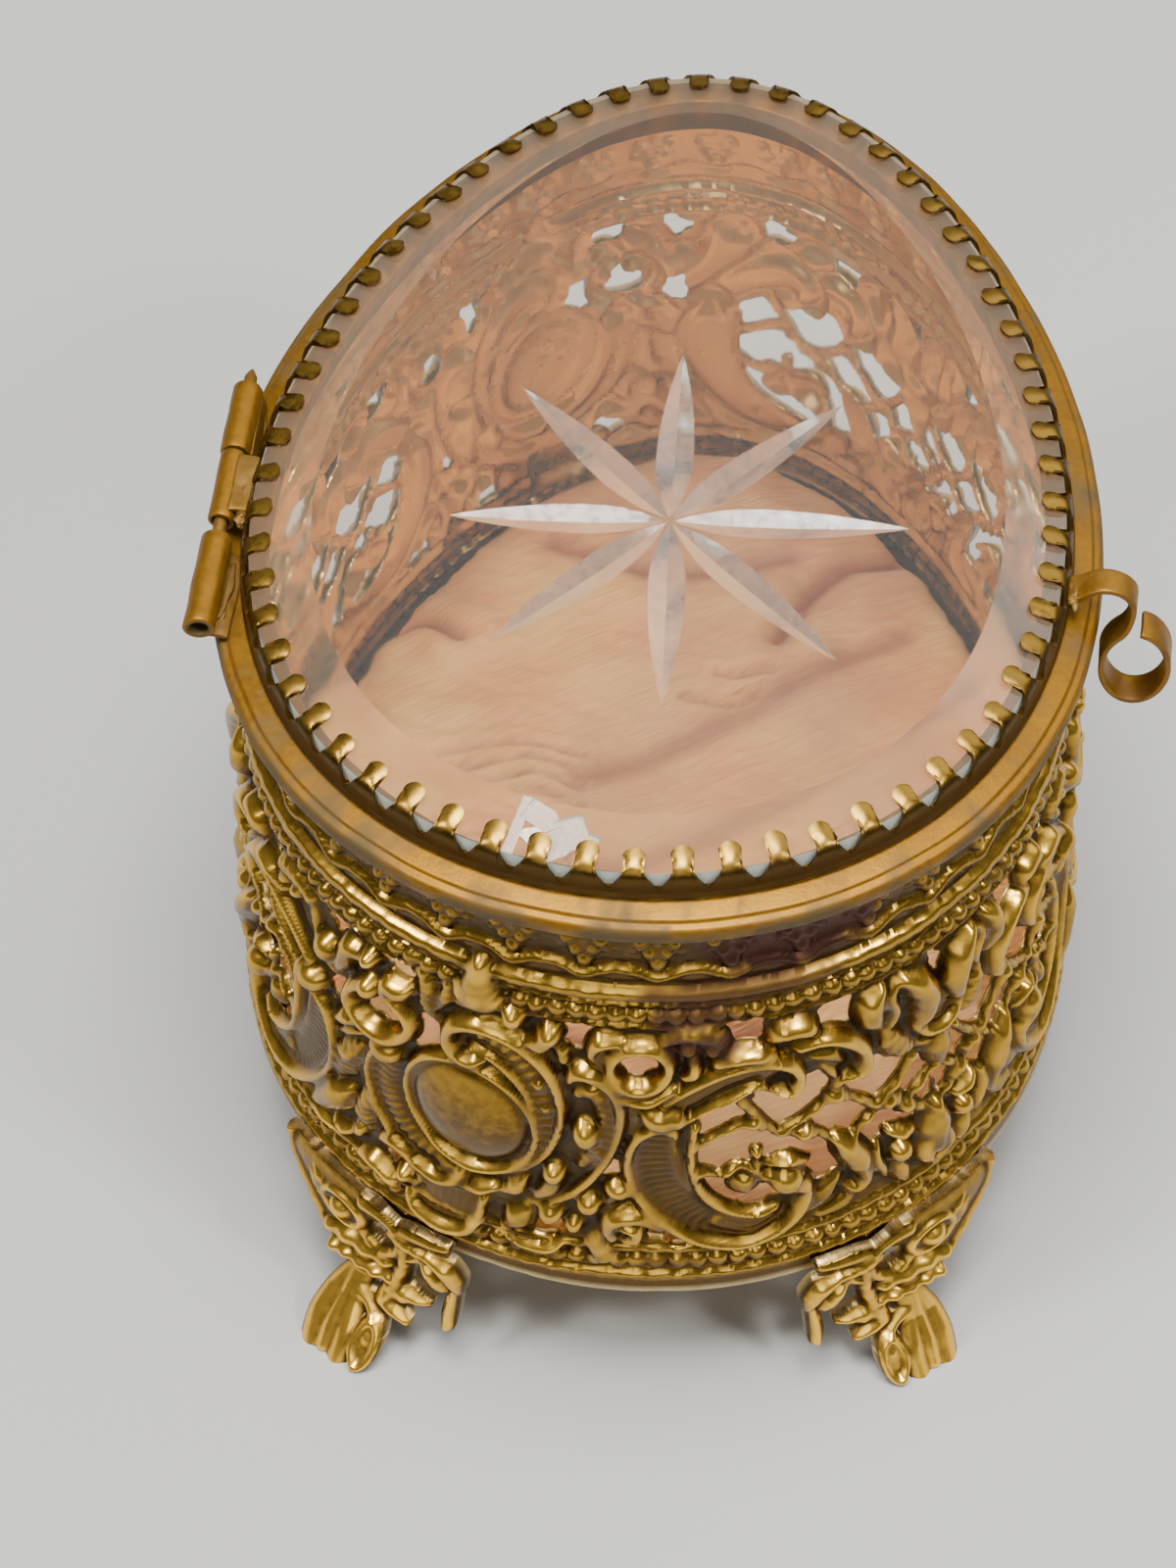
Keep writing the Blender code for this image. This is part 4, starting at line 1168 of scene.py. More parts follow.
    def frieze(self, s: np.ndarray, z: np.ndarray) -> np.ndarray:
        """The scalloped ridge, and the hanging clusters of balls above it."""
        place = (s - self.cluster_first) / self.cluster_pitch
        x = (place - np.round(place)) * self.cluster_pitch
        turn = FULL_TURN * x / self.cluster_pitch
        crest = 57.75 - 0.42 * np.cos(turn) - 0.06 * np.cos(2.0 * turn)
        height = 0.62 * bump(z, crest, 0.5)
        shelf = soft_edge(z, 56.4, 57.4) * (1.0 - np.clip((z - crest + 0.2) / 0.6, 0.0, 1.0))
        height = np.maximum(height, 0.26 * shelf)
        for across, level, radius, lift in self.balls:
            away = np.hypot(x - across, (z - level) * 0.92)
            height = np.maximum(height, lift * np.sqrt(np.clip(1.0 - (away / radius) ** 2, 0.0, 1.0)))
        return np.maximum(height, 0.32 * bump(np.abs(x) * 0.75 + np.abs(z - 60.3) * 0.55, 0.0, 1.35))

    def stained(self, s: np.ndarray, z: np.ndarray) -> np.ndarray:
        """Where old spilt dye has darkened the strip."""
        flat = np.column_stack([s, z])
        rough = 0.16 * (0.9 * uneven(flat, 3.4, 21) + 0.5 * uneven(flat, 1.1, 22))
        total = np.zeros(len(s))
        for across, level, wide, tall, strength in self.stains:
            away = np.hypot((s - across) / wide, (z - level) / tall) + rough
            total = np.maximum(total, strength * (1.0 - soft_edge(away, 0.7, 1.12)))
        return total

    def piece(self, index: int, low: float, high: float, step: float) -> bpy.types.Object:
        """Make one length of the strip.

        Args:
            index: Its number, from the seam.
            low: Where it starts along the strip.
            high: Where it ends.
            step: Its grid's spacing.

        Returns:
            The length, in the frame.
        """
        sheet = ChasedSheet(f"gallery_strip_{index}", (low, self.bottom), (high, self.top), step)
        thing = sheet.grid()
        sheet.cut(thing, lambda s, z: self.metal.read(self.unit_across(s), z))
        s, z, _ = points_of(thing).T
        u, t = self.unit_across(s), PLAN.parameter(s)
        mouldings = self.mouldings(s, z)
        work = np.maximum(self.height.read(u, z), mouldings)
        soft = np.maximum(self.soft.read(u, z), 0.8 * mouldings)
        front = PLAN.place(t, self.base(z) + work, z)
        back = PLAN.place(t, self.base(z) + 0.85 * soft - self.sheet, z)
        behind = sheet.give_back(thing, front, back)
        # Darker in the hollows and on the low ground between the motifs: dirt and painted shade.  Brighter on the
        # crests: wear.
        low = np.clip(0.35 - work, -0.35, 0.35)
        dips = self.hollow.read(u, z) - 0.3 * np.clip(mouldings - 0.3, 0.0, 0.6)
        dirt_and_shade = np.clip(0.5 + 0.95 * dips + 0.65 * low, 0.0, 1.0)
        wear_and_highlight = np.clip(0.12 + 0.1 * work - 1.1 * dips, 0.0, 1.0)
        stain = self.stained(s, z)
        # Faces that look up are painted brighter and faces that look down darker: painted highlight and painted
        # shade.
        rise = facing_up(thing)
        wear_and_highlight = np.concatenate([wear_and_highlight, 0.7 - 0.4 * wear_and_highlight]) + 0.5 * rise
        dirt_and_shade = np.concatenate([dirt_and_shade, 0.5 - 0.3 * dirt_and_shade]) - 0.22 * rise
        dress_relief(thing, wear_and_highlight, dirt_and_shade, np.concatenate([stain, 0.3 * stain]), behind)
        smooth_shade(thing, 62.0)
        return thing

    def build(self) -> list[bpy.types.Object]:
        """Make the whole strip in lengths."""
        self.chase()
        edges = (self.seam, *self.cuts, self.seam + PLAN.length())
        return [
            self.piece(index, low, high, self.coarse_step if low > self.coarse_from else self.fine_step)
            for index, (low, high) in enumerate(zip(edges, edges[1:]))
        ]


@dataclass
class Foot:
    """One stamped foot under the base ring.  Its knee is turned away from the box's ends."""

    name: str
    angle: float
    knee_side: float
    splay: float = 0.0
    sheet: float = 0.95
    step: float = 0.14
    lean: tuple[Point, ...] = (
        (-1.0, 9.2), (0.0, 8.5), (1.2, 7.7), (2.6, 6.8), (4.6, 5.3), (6.8, 4.2), (9.4, 3.7), (12.2, 3.5), (14.6, 3.5),
        (16.6, 3.5),
    )

    def build(self, relief: Relief, work: FootWork) -> bpy.types.Object:
        """Make the foot.

        Args:
            relief: The chased foot.
            work: What the relief was chased after.

        Returns:
            The foot, in the frame.
        """
        height = Raster(relief.across, relief.up, box_blur(relief.height, relief.across, 0.16))
        hollow = Raster(relief.across, relief.up, relief.hollows(0.5))
        inside = relief.drawn + work.flange
        held = joined_to(inside > 0.0, (relief.drawn > 0.5) & (np.abs(relief.across - 3.8) < 1.0)[:, None])
        metal = Raster(relief.across, relief.up, np.where((inside > 0.0) & ~held, -1.0, inside))
        sheet = ChasedSheet(self.name, (-work.half, 0.0), (work.half, work.top), self.step)
        thing = sheet.grid()
        sheet.cut(thing, lambda across, up: metal.read(self.knee_side * across, up))
        across, up, _ = points_of(thing).T
        drawn = self.knee_side * across
        levels, grows = np.array(self.lean).T
        middle = math.radians(self.angle)
        table = np.linspace(middle - 0.6, middle + 0.6, 481)
        run = running(PLAN.outline(table, PLAN.table_grow))
        run -= np.interp(middle, table, run)
        t = np.interp(across, run, table)
        raised = height.read(drawn, up)
        lean = np.interp(up, levels, grows) + self.splay * (1.0 - soft_edge(up, 0.0, 9.0))
        thick = self.sheet + 0.35 * (1.0 - soft_edge(up, 0.0, 7.0))
        front = PLAN.place(t, lean + raised, up)
        back = PLAN.place(t, lean + 0.35 * raised - thick, up)
        behind = sheet.give_back(thing, front, back)
        # Darker in the hollows: dirt and painted shade.  Brighter on the crests and towards the toe: wear.
        dips = hollow.read(drawn, up)
        dirt_and_shade = np.clip(0.5 + 1.0 * dips, 0.0, 1.0)
        wear_and_highlight = np.clip(0.2 + 0.25 * raised - 1.2 * dips + 0.3 * (1.0 - soft_edge(up, 3.0, 9.0)), 0.0, 1.0)
        # Faces that look up are painted brighter and faces that look down darker: painted highlight and painted
        # shade.
        rise = facing_up(thing)
        plain = np.ones_like(up)
        wear_and_highlight = np.concatenate([wear_and_highlight, 0.2 * plain]) + 0.45 * rise
        dress_relief(thing, wear_and_highlight, np.concatenate([dirt_and_shade, 0.6 * plain]) - 0.2 * rise, 0.0, behind)
        smooth_shade(thing, 62.0)
        return thing


@dataclass
class BaseRing:
    """The floor pan with its small wavy lip."""

    grow: float = 2.35
    underside: float = 13.9
    lip_top: float = 16.25
    sheet: float = 0.6
    reach: float = -10.0

    def build(self) -> bpy.types.Object:
        """Make the pan: its lip is spun, then its floor is filled in above and below."""
        outer, floor = self.grow, self.underside + self.sheet
        section = [
            (self.reach, self.underside), (outer - 0.25, self.underside), (outer + 0.12, self.underside + 0.35),
            (outer, 15.0), (outer - 0.05, self.lip_top), (outer - self.sheet, self.lip_top),
            (outer - self.sheet, floor), (self.reach, floor),
        ]
        pan = spin_ring("base_pan_ring", section, steps=256)
        centres, normals = facings(pan)
        away = PLAN.local(centres)
        wall = (np.hypot(away[:, 0] / 23.0, away[:, 1] / 33.2) < 1.02) & (np.abs(normals[:, 2]) < 0.3)
        pick_faces(pan, wall)
        bpy.ops.mesh.delete(type="ONLY_FACE")
        bpy.ops.mesh.select_all(action="SELECT")
        bpy.ops.mesh.fill_holes(sides=0)
        bpy.ops.mesh.normals_make_consistent(inside=False)
        bpy.ops.mesh.select_mode(type="VERT")
        bpy.ops.object.mode_set(mode="OBJECT")
        points = points_of(pan)
        local = PLAN.local(points)
        wave = 0.16 * uneven(local[:, :2], 9.0, 31) + 0.07 * uneven(local[:, :2], 2.6, 32)
        edge = (1.0 - soft_edge(local[:, 2], 14.0, 15.2)) * (local[:, 2] < 14.3)
        points[:, 2] += edge * np.clip(wave, 0.0, 1.0) * MM
        move_points(pan, points)
        # Darker towards the bottom of the pan, and brighter up on its lip.
        dirt_and_shade = 0.62 - 0.2 * soft_edge(local[:, 2], 14.5, 16.0)
        dress_relief(pan, soft_edge(local[:, 2], 15.0, 16.0) * 0.5, dirt_and_shade, 0.0, local[:, 2] < 14.3)
        smooth_shade(pan, 40.0)
        return pan


@dataclass
class MouthRim:
    """The rolled, worn band round the mouth, with its inner lip."""

    section: tuple[Point, ...] = (
        (2.2, 65.0), (2.5, 65.3), (2.6, 66.2), (2.3, 66.75), (1.75, 66.85), (1.6, 67.15), (-0.6, 67.5), (-2.6, 67.5),
        (-2.6, 64.4), (-2.0, 64.4), (-2.0, 66.8), (0.9, 66.5), (1.75, 66.0), (1.75, 65.0),
    )

    def build(self) -> bpy.types.Object:
        """Make the rim."""
        rim = spin_ring("mouth_rim_band", rounded(self.section, 0.28, 3), steps=320, uneven_by=0.07)
        local = PLAN.local(points_of(rim))
        patchy = 0.2 * uneven(local, 6.0, 33) + 0.2 * uneven(local, 2.2, 34)
        # Lighter on the top band, from wear and painted highlight; darker down the outer face below it, painted
        # shade.  The second ramp rises to one on the top band, where that shade ends.
        wear_and_highlight, dirt_and_shade = (soft_edge(local[:, 2], low, 67.0) for low in (65.9, 66.0))
        dress_relief(rim, 0.62 * wear_and_highlight - patchy, 0.85 - 0.38 * dirt_and_shade + patchy)
        return rim


@dataclass
class Bezel:
    """The ribbon that holds the glass, its edge cut into prongs that bend in over the bevel."""

    prongs: int = 62
    pitch: float = 3.8
    neck: float = 2.9
    notch: float = 0.9
    reach: float = 4.75
    prong_half: float = 0.86
    sheet: float = 0.28
    rows: int = 12
    columns: tuple[float, ...] = (
        -0.5, -0.47, -0.43, -0.39, -0.35, -0.31, -0.27, -0.245, -0.227, -0.215, -0.17, -0.09, 0.0, 0.09, 0.17, 0.215,
        0.227, 0.245, 0.27, 0.31, 0.35, 0.39, 0.43, 0.47,
    )
    profile: tuple[Place, ...] = (
        (0.0, 0.12, 67.85), (0.5, -0.02, 68.35), (1.5, -0.1, 69.35), (2.0, -0.16, 69.85), (2.35, -0.36, 70.2),
        (2.75, -0.72, 70.42), (3.4, -1.36, 70.58), (4.3, -2.25, 70.72), (6.0, -3.9, 71.05),
    )

    def strip_lengths(self, away: np.ndarray, longer: np.ndarray) -> np.ndarray:
        """How long the ribbon is at each place, with its round prongs and the notches between.

        Args:
            away: The distance along the ribbon from the nearest prong's middle.
            longer: How much longer that prong was cut.

        Returns:
            The ribbon's length from its bottom edge.
        """
        tip = self.reach + longer - 0.85 * (1.0 - np.sqrt(1.0 - np.clip(away / self.prong_half, 0.0, 1.0) ** 2))
        across = np.clip((away - self.prong_half) / (0.5 * self.pitch - self.prong_half), 0.0, 1.0)
        flank = self.notch + (self.neck - self.notch) * (1.0 - across) ** 1.5
        return np.where(away <= self.prong_half, tip, flank)

    def build(self) -> bpy.types.Object:
        """Make the ribbon: a sheet cut to its prongs, bent over, and given its thickness."""
        rng = np.random.default_rng(7)
        per = len(self.columns)
        ribbon = start("bezel_ribbon", bpy.ops.mesh.primitive_grid_add, x_subdivisions=self.prongs * per,
                       y_subdivisions=self.rows, size=1.0)
        points = points_of(ribbon) + 0.5
        made = len(np.unique(np.round(points[:, 0], 6))) - 1
        column = np.round(points[:, 0] * made).astype(int) % (self.prongs * per)
        prong, along = column // per, np.array(self.columns)[column % per]
        longer, stand, twist = (
            rng.uniform(low, high, self.prongs)[prong] for low, high in ((-0.25, 0.2), (0.0, 0.2), (-0.07, 0.07))
        )
        away = np.abs(along) * self.pitch
        run = points[:, 1] * self.strip_lengths(away, longer)
        knots = np.array(self.profile).T
        bent = soft_edge(run, 2.2, 4.4)
        dome = 0.16 * np.clip(1.0 - (away / self.prong_half) ** 2, -0.3, 1.0) * soft_edge(run, 2.3, 3.2)
        spread = 1.0 - 0.14 * bump(run, 2.9, 0.9) + 0.16 * soft_edge(run, 3.2, 4.0)
        grow = np.interp(run, knots[0], knots[1])
        height = np.interp(run, knots[0], knots[2]) + stand * bent + dome
        table = np.linspace(0.0, FULL_TURN, PLAN.table_steps + 1)
        length = running(PLAN.outline(table, 0.0))
        place = (prong + along * spread + 0.5) * length[-1] / self.prongs
        t = np.interp(place + twist * np.clip(run - self.neck, 0.0, None), length, table)
        move_points(ribbon, PLAN.place(t, grow, height))
        with editing(ribbon):
            bpy.ops.mesh.remove_doubles(threshold=SAME_PLACE)
        apply_modifier(ribbon, "SOLIDIFY", thickness=self.sheet * MM, offset=-1.0)
        local = PLAN.local(points_of(ribbon))
        # Brighter on the bent prongs: wear.  Brighter where faces look up: painted highlight.  A little darker down
        # the ribbon below the bend: painted shade.
        lift = soft_edge(local[:, 2], 69.6, 70.6)
        dress_relief(ribbon, 0.2 * lift + 0.25 * facing_up(ribbon), 0.66 - 0.1 * lift)
        smooth_shade(ribbon, 50.0)
        return ribbon


@dataclass
class GlassPane:
    """The lid's bevelled plate with the eight rays of its cut star, and a chip in its bevel.

    A flake of the chip has its place from `chip`, its turn, its length and width, and how far it leans.
    """

    grow: float = -0.7
    bottom: float = 68.5
    edge_top: float = 70.05
    top: float = 71.0
    bevel: float = 5.0
    star_centre: Point = (1.0, -8.0)
    rays: int = 8
    ray_length: float = 19.0
    ray_turn: float = 3.0
    length_wander: float = 1.0
    angle_wander: float = 1.5
    widest_at: float = 0.36
    half_width: float = 1.62
    depth: float = 0.5
    steps: int = 14
    chip: Point = (-4.0, -39.5)
    flakes: tuple[tuple[float, float, float, float, float, float], ...] = (
        (-1.3, 0.9, -30.0, 3.5, 1.9, 0.3), (0.6, 0.0, 24.0, 3.0, 2.2, -0.32), (0.0, -1.0, -62.0, 2.5, 3.1, 0.26),
        (1.8, -0.8, -12.0, 2.5, 1.7, -0.3), (-2.1, -0.2, 50.0, 2.0, 1.3, 0.26),
    )

    def build(self) -> bpy.types.Object:
        """Make the plate, grind its bevel, cut its star and chip it."""
        pane = start("glass_plate", bpy.ops.mesh.primitive_circle_add, vertices=256, radius=1.0, fill_type="NGON")
        pull_up(pane, 2)
        points = points_of(pane)
        level = np.round(points[:, 2]).astype(int)
        grows = np.array([self.grow, self.grow, self.grow - self.bevel])[level]
        heights = np.array([self.bottom, self.edge_top, self.top])[level]
        move_points(pane, PLAN.place(np.arctan2(points[:, 1], points[:, 0]), grows, heights))
        face_outwards(pane)
        rng = np.random.default_rng(5)
        for index in range(self.rays):
            length = self.ray_length + rng.uniform(-self.length_wander, self.length_wander)
            wander = rng.uniform(-self.angle_wander, self.angle_wander)
            self.cut_ray(pane, length, self.ray_turn + 360.0 * index / self.rays + wander)
        self.break_chip(pane)
        smooth_shade(pane, 6.0)
        return pane

    def cut_with(self, pane: bpy.types.Object, tool: bpy.types.Object, *local: np.ndarray) -> None:
        """Cut the plate with a closed tool.

        Args:
            pane: The plate.
            tool: The tool, which is then thrown away.
            local: The tool's places along each axis, in the plan's own millimetres.
        """
        move_points(tool, PLAN.to_frame(np.column_stack(local)))
        face_outwards(tool)
        apply_modifier(pane, "BOOLEAN", operation="DIFFERENCE", solver="EXACT", object=tool)
        bpy.data.objects.remove(tool)

    def break_chip(self, pane: bpy.types.Object) -> None:
        """Break a few flat flakes out of the front of the bevel.

        Each flake dips a little into the bevel at one corner, so it leaves a bright straight-edged facet.
        """
        for x, y, turn, long, wide, dip in self.flakes:
            flake = start("flake", bpy.ops.mesh.primitive_cube_add, size=1.0)
            points = points_of(flake) * (long, wide, 1.0)
            across, back = turned(points[:, 0], points[:, 1], turn)
            bevel = self.top - 0.36 + 0.19 * (y + back)
            lean = dip * (points[:, 0] / long + 0.6 * points[:, 1] / wide)
            height = bevel + points[:, 2] + 0.46 - 0.5 * abs(dip) + lean
            self.cut_with(pane, flake, self.chip[0] + x + across, self.chip[1] + y + back, height)

    def cut_ray(self, pane: bpy.types.Object, length: float, angle: float) -> None:
        """Cut one ray, as a V-edged wheel does: deepest towards its root and running out at both ends.

        Args:
            pane: The plate.
            length: The ray's length.
            angle: Its direction from +X, in degrees.
        """
        wheel = start("wheel", bpy.ops.mesh.primitive_grid_add, x_subdivisions=self.steps, y_subdivisions=2,
                      size=1.0)
        pull_up(wheel, 1)
        points = points_of(wheel)
        t = points[:, 0] + 0.5
        side = 2.0 * points[:, 1]
        rising, falling = t / self.widest_at, (t - self.widest_at) / (1.0 - self.widest_at)
        quarter = 0.25 * FULL_TURN
        wide = np.where(t < self.widest_at, np.sin(quarter * np.clip(rising, 0.0, 1.0)) ** 0.8,
                        np.cos(quarter * np.clip(falling, 0.0, 1.0)) ** 0.85)
        depth = self.depth * np.clip(wide, 0.0, 1.0) - 0.03
        rise = 0.3
        half = (depth + rise) * self.half_width / self.depth
        z = np.where(np.abs(side) < 0.5, -depth, rise) + 1.2 * points[:, 2]
        x, y = turned(0.1 + t * length, side * half, angle)
        self.cut_with(pane, wheel, self.star_centre[0] + x, self.star_centre[1] + y, self.top + z)

    def finish_of(self, pane: bpy.types.Object) -> np.ndarray:
        """Which finish each face takes: 0 polished, 1 the wheel's, 2 the ground edge, 3 the chip, 4 the bevel."""
        centres, normals = facings(pane)
        local = PLAN.local(centres)
        near = np.hypot(local[:, 0] - self.star_centre[0], local[:, 1] - self.star_centre[1]) < 21.0
        groove = near & (normals[:, 2] > 0.3) & (normals[:, 2] < 0.995)
        slope = math.atan2(self.top - self.edge_top, self.bevel)
        front = np.array([0.0, -math.sin(slope), math.cos(slope)])
        chipped = (np.hypot(*(local[:, :2] - self.chip).T) < 4.2) & (local[:, 2] > 69.0)
        chipped &= np.abs(normals @ front) < 0.9992
        bevel = (normals[:, 2] > 0.9) & (normals[:, 2] < 0.995)
        return np.select([np.abs(normals[:, 2]) < 0.2, chipped, groove, bevel], [2, 3, 1, 4], 0)


@dataclass
class Hinge:
    """The three knuckles, the pin, and the small plates and solder that hold them."""

    x: float = -35.3
    z: float = 69.2
    sides: int = 28

    def tube(self, name: str, ends: Point, radius: float, bore: float, seed: int) -> bpy.types.Object:
        """Roll a knuckle.

        Args:
            name: Its name.
            ends: Its near and far ends along Y.
            radius: Its outer radius.
            bore: The radius of its hole.
            seed: Which unevenness it has.

        Returns:
            The knuckle.
        """
        low, high = ends
        corners = rounded([(bore, low), (radius, low), (radius, high), (bore, high)], 0.14, 2)
        rings = []
        for index, here in enumerate(corners):
            after = corners[(index + 1) % len(corners)]
            count = 12 if abs(after[1] - here[1]) > 1.0 else 1
            rings.extend((here[0], here[1] + (after[1] - here[1]) * step / count) for step in range(count))
        tube = start(name, bpy.ops.mesh.primitive_circle_add, vertices=len(rings), radius=1.0)
        move_points(tube, np.array([(radial, along, 0.0) for radial, along in rings]))
        spin_closed(tube, self.sides, (0.0, 1.0, 0.0))
        points = points_of(tube)
        size = np.hypot(points[:, 0], points[:, 2])
        turn = np.arctan2(points[:, 2], points[:, 0])
        outside = size > 0.5 * (radius + bore)
        push = (0.04 * uneven(points, 4.0, seed) - 0.2 * np.exp(-(((turn - 0.35) / 0.09) ** 2))) * outside
        points[:, 0] *= 1.0 + push / size
        points[:, 2] *= 1.0 + push / size
        points[:, 1] += 0.12 * np.sin(turn + seed) * (np.abs(points[:, 1] - low) < 0.5)
        points += np.array([self.x, 0.0, self.z])
        move_points(tube, PLAN.to_frame(points))
        # Brighter outside the knuckle, darker inside its bore and along its dented seam.
        dress_relief(tube, 0.75 * outside, 0.95 - 0.55 * outside + 0.2 * np.exp(-(((turn - 0.35) / 0.2) ** 2)))
        smooth_shade(tube, 40.0)
        return tube

    def pin(self) -> bpy.types.Object:
        """Make the pin, with one pointed end."""
        pin = start("pin_wire", bpy.ops.mesh.primitive_cylinder_add, vertices=20, radius=0.55, depth=1.0,
                    end_fill_type="NGON")
        x, z, along = points_of(pin).T
        local = np.column_stack([x + self.x, np.where(along > 0.0, 4.9, -19.6), z + self.z])
        move_points(pin, PLAN.to_frame(local))
        face_outwards(pin)
        pick_faces(pin, facings(pin)[1][:, 1] > 0.9)
        bpy.ops.mesh.extrude_region_move(TRANSFORM_OT_translate={"value": (0.0, 0.9 * MM, 0.0)})
        bpy.ops.transform.resize(value=(0.25, 0.25, 0.25))
        bpy.ops.object.mode_set(mode="OBJECT")
        apply_modifier(pin, "BEVEL", width=0.08 * MM, segments=2, limit_method="ANGLE")
        dress_relief(pin, 0.5, 0.6)
        smooth_shade(pin, 40.0)
        return pin

    def plate(self, name: str, corners: Sequence[Place], sheet: float, seed: int) -> bpy.types.Object:
        """Make a small soldered plate.

        Args:
            name: Its name.
            corners: Its four corners, in order.
            sheet: Its thickness.
            seed: Which unevenness it has.

        Returns:
            The plate, with its edges eased and its face lumpy.
        """
        plate = start(name, bpy.ops.mesh.primitive_grid_add, x_subdivisions=10, y_subdivisions=10, size=1.0)
        points = points_of(plate) + 0.5
        a, b, c, d = (np.array(corner) for corner in corners)
        u, v = points[:, :1], points[:, 1:2]
        local = a * (1.0 - u) * (1.0 - v) + b * u * (1.0 - v) + c * u * v + d * (1.0 - u) * v
        local[:, 2] += 0.1 * uneven(local, 1.6, seed)
        move_points(plate, PLAN.to_frame(local))
        apply_modifier(plate, "SOLIDIFY", thickness=sheet * MM, offset=0.0)
        apply_modifier(plate, "BEVEL", width=0.12 * MM, segments=2, limit_method="ANGLE")
        face_outwards(plate)
        dress_relief(plate, 0.35, 0.6)
        smooth_shade(plate, 50.0)
        return plate

    def solder(self, name: str, centre: Place, size: Place, seed: int) -> bpy.types.Object:
        """Make a lump of solder, run out at its edges."""
        lump = start(name, bpy.ops.mesh.primitive_ico_sphere_add, subdivisions=4, radius=1.0)
        points = points_of(lump)
        scale = 1.0 + 0.22 * uneven(points, 1.3, seed) + 0.1 * uneven(points, 0.5, seed + 1)
        move_points(lump, PLAN.to_frame(points * scale[:, None] * np.array(size) + np.array(centre)))
        dress_relief(lump, 0.3, 0.66)
        smooth_shade(lump)
        return lump

    def on_box(self) -> dict[str, bpy.types.Object]:
        """Make the hinge's pieces that stay on the box, by the node each stands for."""
        x, z = self.x, self.z
        near_leaf = [(x + 0.4, -21.4, z - 1.15), (x + 2.1, -21.2, z - 1.85), (x + 2.4, -12.9, z - 1.85),
                     (x + 0.4, -12.7, z - 1.15)]
        far_leaf = [(x + 1.15, -3.2, z - 0.1), (x + 1.75, -3.3, z - 1.6), (x + 1.3, 3.4, z - 1.6),
                    (x + 1.0, 3.4, z - 0.1)]
        near = [
            self.tube("near_tube", (-21.9, -12.5), 1.3, 0.78, 2), self.plate("near_leaf", near_leaf, 0.45, 11),
            self.solder("near_solder", (x + 1.2, -16.8, z - 1.35), (0.75, 3.2, 0.35), 12),
        ]
        far = [
            self.tube("far_tube", (-3.4, 3.6), 1.25, 0.72, 3), self.plate("far_leaf", far_leaf, 0.5, 13),
            self.solder("far_solder", (x + 0.9, 0.4, z - 1.45), (0.8, 2.6, 0.35), 14),
        ]
        return {
            "hinge_knuckle_near": join("knuckle_near_rolled", near),
            "hinge_knuckle_far": join("knuckle_far_rolled", far),
            "hinge_pin": self.pin(),
        }

    def on_lid(self) -> dict[str, bpy.types.Object]:
        """Make the hinge's piece that turns with the lid."""
        x, z = self.x, self.z
        leaf = [(x + 0.5, -10.2, z + 0.9), (x + 2.0, -10.0, z + 0.7), (x + 2.3, -4.3, z + 0.7),
                (x + 0.5, -4.1, z + 0.9)]
        middle = [
            self.tube("middle_tube", (-10.7, -3.7), 1.1, 0.72, 4), self.plate("lid_leaf", leaf, 0.45, 15),
            self.solder("lid_solder", (x + 1.5, -7.4, z + 0.45), (0.7, 2.6, 0.5), 16),
            self.solder("lid_drop", (x + 1.7, -10.6, z + 0.5), (0.55, 0.8, 0.5), 17),
        ]
        return {"hinge_knuckle_lid": join("knuckle_middle_rolled", middle)}


@dataclass
class ThumbPull:
    """The strip that arches over the rim and curls back into an oval ring."""

    y: float = -10.0
    width: float = 2.65
    sheet: float = 0.5
    arch_centre: Point = (36.55, 68.3)
    arch_radius: float = 2.35
    loop_centre: Point = (39.3, 61.3)
    loop_half: Point = (2.75, 4.3)

    def line(self) -> np.ndarray:
        """The strip's middle line as rows of x and z, from the bezel to its free end."""
        points = [(33.4, 69.15), (33.9, 69.45)]
        for centre, half, turns in (
            (self.arch_centre, (self.arch_radius, self.arch_radius), np.linspace(158.0, 0.0, 13)),
            (self.loop_centre, self.loop_half, np.linspace(112.0, 446.0, 41)),
        ):
            points += [
                (centre[0] + half[0] * math.cos(turn), centre[1] + half[1] * math.sin(turn))
                for turn in np.radians(turns)
            ]
        path = through(points, 0.35)[:, :2]
        for _ in range(12):
            path[1:-1] = 0.25 * path[:-2] + 0.5 * path[1:-1] + 0.25 * path[2:]
        return path

    def build(self) -> bpy.types.Object:
        """Make the strip, bent along its line, and the solder at its root."""
        path = self.line()
        strip = start("pull_strip", bpy.ops.mesh.primitive_grid_add, x_subdivisions=len(path), y_subdivisions=6,
                      size=1.0)
        points = points_of(strip)
        along = points[:, 0] + 0.5
        index = along * (len(path) - 1)
        neck = 1.0 - 0.14 * np.exp(-(((along - 0.18) / 0.12) ** 2))
        x, z = (np.interp(index, np.arange(len(path)), path[:, axis]) for axis in (0, 1))
        local = np.column_stack([x, self.y + points[:, 1] * self.width * neck, z])
        local[:, 0] += 0.05 * uneven(local, 5.0, 41)
        local[:, 2] += 0.05 * uneven(local, 5.0, 42)
        move_points(strip, PLAN.to_frame(local))
        apply_modifier(strip, "SOLIDIFY", thickness=self.sheet * MM, offset=0.0)
        apply_modifier(strip, "BEVEL", width=0.1 * MM, segments=2, limit_method="ANGLE")
        face_outwards(strip)
        local = PLAN.local(points_of(strip))
        tarnish = 0.45 * soft_edge(uneven(local, 3.0, 43), 0.1, 0.9) * soft_edge(local[:, 0], 37.0, 39.0)
        dress_relief(strip, 0.6, 0.5, tarnish)
        root = Hinge().solder("pull_solder", (34.0, self.y, 69.0), (0.8, 1.5, 0.6), 51)
        smooth_shade(strip, 45.0)
        return join("pull_strip", [strip, root])


